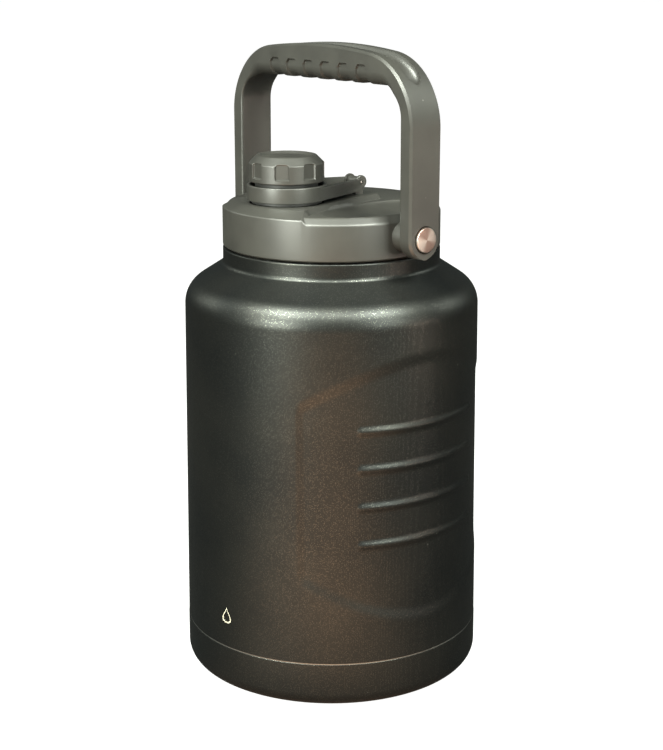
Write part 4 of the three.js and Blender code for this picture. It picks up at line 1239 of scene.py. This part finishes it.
# ------------------------------------------------------------------------------ small cap and tether
@dataclass
class SmallCap:
    """The small screw cap with its pocketed grip, core and keeper, and the tether that holds it."""

    sizes: Frame
    cone: float = 4.4
    cone_inset: float = 4.9
    dish: float = 1.5
    pockets: int = 8
    pocket_half: float = 3.9
    pocket_depth: float = 1.3
    pocket_foot: float = 2.2
    pocket_head: float = 1.1
    pocket_frame: float = 0.55
    clip: float = 1.0
    ring_wall: float = 1.6
    arm_drop: float = 1.0
    arm_floor: float = 2.0
    knuckle_half: float = 5.5
    knuckle_r: float = 3.6
    leaf: float = 1.6

    def cap(self) -> Piece:
        """The cap: a turned form with a sloping band, dished top and pockets pressed into its side.

        A pocket is a flat floor, as far from the axis as the cap less the pocket's depth. Its frame is a
        box about its middle with clipped upper corners; the depth rises smoothly inside the frame.
        """
        low, high = corners("chug_cap")
        r, bottom, top, y = high[0], low[2], high[2], self.sizes.spout_y
        side = top - self.cone
        top_r = r - self.cone_inset
        outer = rounded([(r - 3, bottom), (r, bottom, 0.6), (r, side, 0.5), (top_r + 0.8, top - 0.35, 0.6),
                         (top_r - 0.9, top, 0.5), (top_r - 2.6, top - self.dish, 0.8), (0, top - self.dish)])
        inner = rounded([(0, top - 3), (r - 3, top - 3, 0.5), (r - 3, bottom)])
        path = np.vstack([dense(outer, 0.35), inner[:-1]])
        marks = [(360 * k / self.pockets - 90 + sign * 10.2, 2.6, 0.22)
                 for k in range(self.pockets) for sign in (-1, 1)]
        around = turns(160, *marks)
        points = revolved(path, around, y)
        pitch = 2 * math.pi / self.pockets
        off = (around + math.pi / 2 + pitch / 2) % pitch - pitch / 2
        radius = path[:, 0:1]
        across, z = np.abs(radius * np.sin(off[None, :])), path[:, 1:2]
        foot, head = bottom + self.pocket_foot, side + self.pocket_head
        box = np.maximum(across - self.pocket_half, np.abs(z - (foot + head) / 2) - (head - foot) / 2)
        clip = (across - self.pocket_half + z - head + self.clip) / math.sqrt(2)
        depth = smooth_step(-np.maximum(box, clip) / self.pocket_frame)
        floor = (r - self.pocket_depth) / np.cos(off[None, :])
        outside = (np.arange(len(path)) < len(path) - len(inner))[:, None] & (radius > top_r)
        rise = np.minimum(floor - radius, 0) * depth * outside
        return piece_of("cap_skin", np.roll(widened(points, y, rise), len(inner) - 1, axis=0), poles=True)

    def core(self) -> Piece:
        """The cap's threaded core, open downwards."""
        low, high = corners("cap_core")
        r, bottom, top, y = high[0], low[2], high[2], self.sizes.spout_y
        bore = r - 1.8
        inner = dense(np.array([(bore, bottom + 0.4), (bore, top - 1.8)]), 0.4)
        path = np.vstack([inner, [(0, top - 1.8)], [(0, top)],
                          rounded([(0, top), (r, top, 0.3), (r, bottom, 0.3), (bore, bottom, 0.3),
                                   (bore, bottom + 0.3)])[1:]])
        points = revolved(path, turns(120), y)
        on_bore = (np.abs(path[:, 0] - bore) < 0.02)[:, None]
        start = self.sizes.spout_top - CAP_THREAD_DROP
        rise = thread(points, y, start, CAP_THREAD_TURNS, -0.5) * on_bore
        moved = np.roll(widened(points, y, rise), -(len(inner) + 1), axis=0)
        return piece_of("core_skin", moved, poles=True)

    def keeper(self) -> Piece:
        """The ring that keeps the cap in its tether."""
        low, high = corners("cap_keeper")
        inner, outer = corners("cap_core")[1][0] + GAP, high[0]
        path = rounded([(inner, low[2]), (outer, low[2], 0.5), (outer, high[2], 0.2), (inner, high[2])],
                       closed=True)
        return lathe("keeper_ring", path, turns(120), self.sizes.spout_y)

    def arm_shape(self, name: str, inset: float, low: float, high: float, edge: float) -> Piece:
        """The arm as a solid: its tapering plan from one level to another, with its top edge rounded.

        Args:
            name: name of the solid.
            inset: how far inside the arm's outer faces it lies.
            low: lowest level.
            high: highest level.
            edge: size of the rounding at the top.

        Returns:
            The solid.
        """
        s = self.sizes
        r = corners("tether_arm")[1][0] - inset
        half = self.knuckle_half - inset
        lean = math.asin((r - half) / (s.hinge_y - s.spout_y))
        root = (r * math.cos(lean), s.spout_y + r * math.sin(lean))
        plan = np.array([(-root[0], root[1]), root, (half, s.hinge_y), (-half, s.hinge_y)])
        middle = plan.mean(axis=0)
        rows = []
        away = plan - middle
        levels = ((low, None), (low, 0.0), (high - edge, 0.0), (high - edge * 0.3, edge * 0.3), (high, edge),
                  (high, None))
        for level, pull in levels:
            shrink = 0 * away if pull is None else away - np.sign(away) * pull
            rows.append(np.column_stack([middle + shrink, np.full(len(plan), level)]))
        return piece_of(name, np.array(rows), poles=True)

    def tether(self) -> Piece:
        """The tether: a dished ring round the cap's core, a trough-shaped arm and two hinge knuckles."""
        s = self.sizes
        low, high = corners("tether_arm")
        r, bottom, y = high[0], low[2], s.spout_y
        top = bottom + 8.0
        core_r = corners("cap_core")[1][0] + RUN
        floor = bottom + self.arm_floor
        arm = self.arm_shape("tether_skin", 0, bottom + GAP, top - self.arm_drop, 0.4)
        carve(arm, self.arm_shape("trough", self.ring_wall, floor, top + 1, 0.0), Cut.AWAY)
        in_r = r - self.ring_wall
        carve(arm, lathe("hollow", drum(in_r, floor, top + 1), turns(180), y), Cut.AWAY)
        hoop = rounded([(core_r - 2, bottom), (r, bottom, 0.4), (r, top, 0.5), (in_r, top, 0.4),
                        (in_r, floor, 0.3), (core_r - 2, floor)], closed=True)
        carve(arm, lathe("hoop", hoop, turns(180), y), Cut.JOIN)
        carve(arm, lathe("hole", drum(core_r, bottom - 1, floor + 1), turns(144), y), Cut.AWAY)
        barrel = rounded([(0, -self.knuckle_half), (self.knuckle_r, -self.knuckle_half, 0.5),
                          (self.knuckle_r, self.knuckle_half, 0.5), (0, self.knuckle_half)])
        carve(arm, cross_lathe("barrel", barrel, turns(96), 1, s.hinge_y, s.hinge_z), Cut.JOIN)
        half = self.knuckle_half - self.leaf
        slot_front = s.hinge_y - self.knuckle_r - 1
        box_y = np.array([slot_front, s.hinge_y + 6, s.hinge_y + 6, slot_front])
        box_z = np.array([bottom - 1, bottom - 1, top + 6, top + 6])
        rows = [np.stack([0 * box_y + x, box_y.mean() + (box_y - box_y.mean()) * k,
                          box_z.mean() + (box_z - box_z.mean()) * k], axis=-1)
                for x, k in ((-half, 0), (-half, 1), (half, 1), (half, 0))]
        carve(arm, piece_of("clear_way", np.array(rows), poles=True), Cut.AWAY)
        carve(arm, pin_bore(s), Cut.AWAY)
        return arm

    def build(self, palette: Palette) -> None:
        """Builds and dresses the cap's and tether's pieces."""
        palette.dress(self.cap(), Body.SMALL_CAP, Slot.SATIN, "chug_cap")
        palette.dress(self.core(), Body.SMALL_CAP, Slot.INNER, "cap_core")
        palette.dress(self.keeper(), Body.SMALL_CAP, Slot.INNER, "cap_keeper")
        palette.dress(self.tether(), Body.TETHER, Slot.SATIN, "tether_arm")


# ------------------------------------------------------------------------------ handle
@dataclass
class BailHandle:
    """The bail handle: flat legs, round corners, a crowned grip with finger notches and a top channel."""

    sizes: Frame
    leg_thick: float = 8.3
    half_width: float = 10.4
    grip_height: float = 76.0
    corner_out: float = 37.0
    corner_in: float = 15.5
    crown_tilt: float = math.radians(7)
    edge: float = 1.2
    grip_round: float = 6.2
    notch_count: int = 6
    notch_pitch: float = 14.2
    notch_width: float = 9.0
    notch_depth: float = 1.2
    notch_rise: float = 10.0
    channel_half: float = 5.0
    channel_depth: float = 4.3
    channel_start: float = math.radians(36)
    bush_hole: float = 5.3

    def __post_init__(self) -> None:
        """Works out the centre lines of the two corners and the crown."""
        self.out_x = corners("handle")[1][0]
        self.top = corners("handle")[1][2]
        self.in_x = self.out_x - self.leg_thick
        self.under = self.sizes.pivot + self.grip_height
        hub = self.out_x - self.corner_out
        self.crown_r = self.corner_out + hub / math.sin(self.crown_tilt)
        self.crown_z = self.top - self.crown_r
        self.hub_out = (hub, self.crown_z + (self.crown_r - self.corner_out) * math.cos(self.crown_tilt))
        self.hub_in = (self.in_x - self.corner_in, self.under - self.corner_in)

    def stations(self) -> tuple[np.ndarray, ...]:
        """Stations along the right half: outer and inner points, half width, rounding and channel size.

        The leg's end is a half circle seen from the side, so its half width is the sine of an angle whose
        cosine sets the level. Then come the straight leg, and both corner arcs in step until the section
        stands upright. Over the grip each section is upright, with extra ones at the notches' edges.

        Returns:
            Outer points, inner points, half widths, roundings of the inner edges, channel sizes.
        """
        end = np.linspace(0.03, 1, 22) * math.pi / 2
        end_z = self.sizes.pivot - self.half_width * np.cos(end)
        leg = np.linspace(0, 1, 14)[1:]
        corner = np.linspace(0, 1, 40)[1:]
        edges = self.notch_middles()[:, None, None] + np.array([-0.5, 0.5])[None, :, None] * self.notch_width
        near = (edges + np.arange(-2.4, 2.41, 0.3)[None, None, :]).ravel()
        across = np.concatenate([np.linspace(0, self.hub_in[0], 24), near[near > 0.05]])
        crown = np.unique(across[across < self.hub_in[0] - 0.2].round(3))[::-1]
        turn_out = corner * math.acos((self.hub_in[0] - self.hub_out[0]) / self.corner_out)
        turn_in = corner * math.pi / 2
        on_crown = self.crown_z + np.sqrt(self.crown_r**2 - crown**2)
        past_hub = crown - self.hub_out[0]
        on_corner = self.hub_out[1] + np.sqrt(np.maximum(self.corner_out**2 - past_hub**2, 0))
        crowned = crown < self.crown_r * math.sin(self.crown_tilt)
        pivot = self.sizes.pivot
        one = np.ones_like
        outer = np.vstack([
            np.column_stack([self.out_x * one(end), end_z]),
            np.column_stack([self.out_x * one(leg), pivot + leg * (self.hub_out[1] - pivot)]),
            np.column_stack([self.hub_out[0] + self.corner_out * np.cos(turn_out),
                             self.hub_out[1] + self.corner_out * np.sin(turn_out)]),
            np.column_stack([crown, np.where(crowned, on_crown, on_corner)]),
        ])
        inner = np.vstack([
            np.column_stack([self.in_x * one(end), end_z]),
            np.column_stack([self.in_x * one(leg), pivot + leg * (self.hub_in[1] - pivot)]),
            np.column_stack([self.hub_in[0] + self.corner_in * np.cos(turn_in),
                             self.hub_in[1] + self.corner_in * np.sin(turn_in)]),
            np.column_stack([crown, self.under * one(crown)]),
        ])
        straight = one(np.concatenate([leg, corner, crown]))
        half = np.concatenate([self.half_width * np.sin(end), self.half_width * straight])
        grip = smooth_step((corner - 0.5) / 0.5)
        flat = self.edge * one(np.concatenate([end, leg]))
        widening = self.edge + grip * (self.grip_round - self.edge)
        rounds = np.concatenate([flat, widening, self.grip_round * one(crown)])
        channel_turn = math.pi / 2 - self.crown_tilt - self.channel_start
        reach = np.clip((turn_out - self.channel_start) / channel_turn, 0, 1)
        size = np.sqrt(np.clip(1 - (1 - np.clip(reach / 0.3, 0, 1)) ** 2, 0, 1))
        channel = np.concatenate([0 * flat, size, one(crown)])
        return outer, inner, half, rounds, channel

    def form(self) -> Piece:
        """The handle's skin: the section at each station, mirrored to the left half, with closed ends.

        Across the section, y runs over the width and s from the inner face to the outer one. The channel
        is a round dent in the outer face. A notch moves the inner face and flanks in by its depth, where
        both the distance along the grip and the height above its underside lie inside the notch.
        """
        mirrored = (np.concatenate([part, part[-2::-1]]) for part in self.stations())
        outer, inner, half, rounds, channel = mirrored
        sign = np.ones(len(half))
        sign[len(half) // 2 + 1:] = -1
        across = outer - inner
        depth = np.linalg.norm(across, axis=1)
        c = np.minimum(self.edge, half * 0.4)[:, None]
        r = np.minimum(rounds, half * 0.8)[:, None]
        h, d = half[:, None], depth[:, None]
        w = np.minimum(self.channel_half * channel, half - 2)[:, None].clip(0.01)
        t = np.linspace(0, 1, 13)[None, :]
        dent = (1 - t) * math.pi
        quarter = np.linspace(0, math.pi / 2, 9)[None, :]
        share = channel[:, None]
        up = np.concatenate([np.linspace(0, 0.45, 5)[1:], np.linspace(0.5, 1, 15), [1.3, 1.6, 1.9]])[None, :]
        top = np.minimum(self.notch_rise + 0.6, 0.6 * d)

        def level(share_up: np.ndarray) -> np.ndarray:
            """Height on a flank: from the inner rounding to just over the notches, then to the outer edge."""
            return np.where(share_up <= 1, r + (top - r) * share_up, top + (d - c - top) * (share_up - 1))

        spans = [
            (h - c * t[:, ::4], d - c * (1 - t[:, ::4])),
            (h - c + (w - h + c) * t[:, 3::3], d + 0 * t[:, 3::3]),
            (w * -np.cos(dent), d - self.channel_depth * share * np.sin(dent)),
            (-w + (w - h + c) * t[:, 3::3], d + 0 * t[:, 3::3]),
            (c - h - c * t[:, 4::4], d - c * t[:, 4::4]),
            (-h + 0 * up[:, ::-1], level(up[:, ::-1])),
            (-h + r * (1 - np.cos(quarter)), r * (1 - np.sin(quarter))),
            (r - h + (2 * h - 2 * r) * t[:, 1:], 0 * t[:, 1:] + 0 * h),
            (h - r * (1 - np.sin(quarter[:, 1:])), r * (1 - np.cos(quarter[:, 1:]))),
            (h + 0 * up, level(up)),
        ]
        y = np.concatenate([part[0] + 0 * part[1] for part in spans], axis=1)
        s = np.concatenate([part[1] + 0 * part[0] for part in spans], axis=1)
        x = inner[:, 0:1] + across[:, 0:1] * s / d
        z = inner[:, 1:2] + across[:, 1:2] * s / d
        bite = self.notch_mask(x, z - self.under)
        flank = np.clip(np.abs(y) / h, 0, 1)
        lean = np.arctan2(np.maximum(np.abs(y) - h + r, 0), np.maximum(r - s, TINY))
        slip = np.where(s < r, np.sin(lean), 1.0) * (flank > 0.3)
        lift = np.where(s < r, np.sqrt(np.maximum(1 - slip**2, 0)), 0)
        y = y - np.sign(y) * slip * self.notch_depth * bite
        z = z + lift * self.notch_depth * bite
        points = np.stack([x * sign[:, None], y, z], axis=-1)
        ends = [row.mean(axis=0) + 0 * row for row in (points[0], points[-1])]
        return piece_of("handle_skin", np.concatenate([ends[:1], points, ends[1:]]), poles=True, sharp=CRISP)

    def notch_middles(self) -> np.ndarray:
        """Where the middles of the finger notches lie along the grip."""
        return (np.arange(self.notch_count) - (self.notch_count - 1) / 2) * self.notch_pitch

    def notch_mask(self, x: np.ndarray, up: np.ndarray) -> np.ndarray:
        """How deep a finger notch is, from 0 to 1: full inside a box about each middle, with short walls."""
        wall = 0.6
        off = np.abs(x[..., None] - self.notch_middles()).min(axis=-1)
        top = self.notch_rise - 2.0 * smooth_step((off - self.notch_width / 2 + 2.0) / 2.0)
        return smooth_step((self.notch_width / 2 - off) / wall) * smooth_step((top - up) / wall)

    def build(self, palette: Palette) -> None:
        """Builds the handle, cuts its pivot holes and dresses it with its bushes."""
        handle = self.form()
        pivot = self.sizes.pivot
        bush_in, bush_out = corners("right_pivot_bush")
        wide = bush_out[1]
        disc = corners("right_pin_cap")[1][1] + GAP
        for side, label in ((-1, "left"), (1, "right")):
            recess = rounded([(0, bush_out[0] + GAP), (disc, bush_out[0] + GAP), (disc, self.out_x - 0.4),
                              (disc + 0.5, self.out_x + 0.1), (0, self.out_x + 0.1)])
            carve(handle, cross_lathe("recess", recess, turns(120), side, 0, pivot), Cut.AWAY, CRISP)
            hole = drum(self.bush_hole, self.in_x - 1, self.out_x)
            carve(handle, cross_lathe("hole", hole, turns(72), side, 0, pivot), Cut.AWAY, CRISP)
            bush = rounded([(4.0, bush_in[0]), (wide, bush_in[0], 0.2), (wide, self.in_x - GAP, 0.3),
                            (5.0, self.in_x - GAP), (5.0, bush_out[0], 0.2), (4.0, bush_out[0])], closed=True)
            skin = cross_lathe(f"{label}_bush_skin", bush, turns(72), side, 0, pivot)
            palette.dress(skin, Body.BAIL, Slot.INNER, f"{label}_pivot_bush")
        palette.dress(handle, Body.BAIL, Slot.SATIN, "handle")


# ------------------------------------------------------------------------------ studio
@dataclass
class Studio:
    """Pale floor, soft light and the camera."""

    camera_out: float = 860.7
    camera_up: float = 390.0
    azimuth: float = 0.88
    pitch: float = 0.216
    lens: float = 77.93
    shift: float = -0.10
    lamp_reach: float = 1.25
    lamp_level: float = 0.22

    def camera(self) -> None:
        """Sets the camera: it looks at the jug's axis, a little downwards, with the frame shifted down."""
        data = bpy.data.cameras.new("camera")
        data.lens, data.sensor_width, data.shift_y = self.lens, 36.0, self.shift
        data.clip_start, data.clip_end = 0.05, 100.0
        camera = bpy.data.objects.new("camera", data)
        bpy.context.scene.collection.objects.link(camera)
        east, south = math.sin(self.azimuth), -math.cos(self.azimuth)
        camera.location = (self.camera_out * east * MM, self.camera_out * south * MM, self.camera_up * MM)
        look = Vector((-east * math.cos(self.pitch), -south * math.cos(self.pitch), -math.sin(self.pitch)))
        camera.rotation_euler = look.to_track_quat("-Z", "Y").to_euler()
        bpy.context.scene.camera = camera

    def floor(self) -> None:
        """Lays the pale floor; what the jug mirrors of it is dark, with a warm glowing patch in front.

        The patch is an emission that only the jug's reflections see: a painted warm reflection that glows
        though it is no lamp. It fades smoothly with the distance from its middle.
        """
        mesh = bpy.data.meshes.new("floor")
        reach = 40.0
        ends = [(-reach, -reach, 0), (reach, -reach, 0), (reach, reach, 0), (-reach, reach, 0)]
        mesh.from_pydata(ends, [], [(0, 1, 2, 3)])
        floor = bpy.data.objects.new("floor", mesh)
        bpy.context.scene.collection.objects.link(floor)
        material = bpy.data.materials.new("pale_floor")
        material.use_nodes = True
        nodes = Nodes(material.node_tree)
        material.node_tree.nodes.clear()
        where = nodes.add("ShaderNodeTexCoord").outputs["Object"]
        away = nodes.add("ShaderNodeVectorMath", operation="DISTANCE")
        nodes.feed(away.inputs[0], where)
        nodes.feed(away.inputs[1], (0.30, -0.28, 0.0))
        fade = nodes.span(away.outputs["Value"], 0.0, 0.40)
        # Painted reflection: a warm glow that only reflections see, standing in for a warm light in front of
        # the jug.
        patch = nodes.mix(fade, (2.9, 1.72, 1.05, 1), (0.006, 0.007, 0.008, 1))
        seen = nodes.add("ShaderNodeLightPath").outputs["Is Camera Ray"]
        # Reflections see a near-black floor, and the camera sees a lit grey one.
        grey = nodes.mix(seen, (0.03, 0.03, 0.03, 1), (0.25, 0.25, 0.25, 1))
        matt = nodes.add("ShaderNodeBsdfDiffuse", Color=grey)
        shown = nodes.mix(seen, patch, PALE)
        glow = nodes.add("ShaderNodeEmission", Color=shown, Strength=1.0)
        both = nodes.tree.nodes.new("ShaderNodeAddShader")
        nodes.feed(both.inputs[0], matt.outputs[0])
        nodes.feed(both.inputs[1], glow.outputs[0])
        out = nodes.add("ShaderNodeOutputMaterial")
        nodes.feed(out.inputs["Surface"], both.outputs[0])
        mesh.materials.append(material)

    def world(self) -> None:
        """Fills the surroundings with dim soft light."""
        world = bpy.data.worlds.new("surroundings")
        world.use_nodes = True
        nodes = Nodes(world.node_tree)
        seen = nodes.add("ShaderNodeLightPath").outputs["Is Camera Ray"]
        back = world.node_tree.nodes["Background"]
        nodes.feed(back.inputs["Color"], nodes.mix(seen, (0.038, 0.047, 0.050, 1), PALE))
        bpy.context.scene.world = world

    @staticmethod
    def lamp(name: str, power: float, colour: Colour, place: Spot, aim: Spot, wide: float,
             tall: float) -> None:
        """Adds one oblong soft box.

        Args:
            name: its name.
            power: its power in watts.
            colour: its colour.
            place: where it hangs, in metres.
            aim: the point that it faces.
            wide: its width in metres.
            tall: its height in metres.
        """
        data = bpy.data.lights.new(name, "AREA")
        data.energy, data.color = power, colour
        data.shape, data.size, data.size_y = "RECTANGLE", wide, tall
        lamp = bpy.data.objects.new(name, data)
        lamp.location = place
        lamp.rotation_euler = (Vector(aim) - Vector(place)).to_track_quat("-Z", "Y").to_euler()
        bpy.context.scene.collection.objects.link(lamp)

    def lamps(self) -> None:
        """Hangs soft boxes at two heights, weak ones in the middle and behind, and a small warm glint.

        Each box hangs on a sphere about the jug, at its azimuth and elevation in degrees.
        """
        boxes = (("high_left", 32.0, 6, 46, 0.50, 0.34), ("high_right", 24.0, 96, 46, 0.46, 0.32),
                 ("high_middle", 8.0, 50, 50, 0.35, 0.18), ("low_left", 17.0, 10, 11, 0.36, 0.40),
                 ("low_right", 6.0, 92, 13, 0.30, 0.30), ("back_left", 2.2, 300, 22, 0.45, 0.45),
                 ("back_right", 2.2, 158, 22, 0.45, 0.45))
        for name, power, around, above, wide, tall in boxes:
            a, e = math.radians(around), math.radians(above)
            out = self.lamp_reach * math.cos(e)
            place = (out * math.sin(a), -out * math.cos(a), self.lamp_level + self.lamp_reach * math.sin(e))
            self.lamp(name, power, (0.95, 1.0, 0.89), place, (0, 0, 0.23), wide, tall)
        self.lamp("glint", 0.7, (1.0, 0.78, 0.66), (0.80, 0.42, 0.16), (0, 0, 0.25), 0.2, 0.2)

    def build(self) -> None:
        """Builds the whole studio."""
        self.camera()
        self.floor()
        self.world()
        self.lamps()
        bpy.context.scene.view_settings.view_transform = "Standard"


def main() -> None:
    """Builds the studio and every assembly in order."""
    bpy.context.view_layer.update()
    Studio().build()
    sizes = Frame()
    palette = Palette(sizes)
    palette.dress_frame()
    for assembly in (JugBody(sizes), Lid(sizes), SmallCap(sizes), BailHandle(sizes)):
        LOG.info("building %s", type(assembly).__name__)
        assembly.build(palette)


if __name__ == "__main__":
    main()
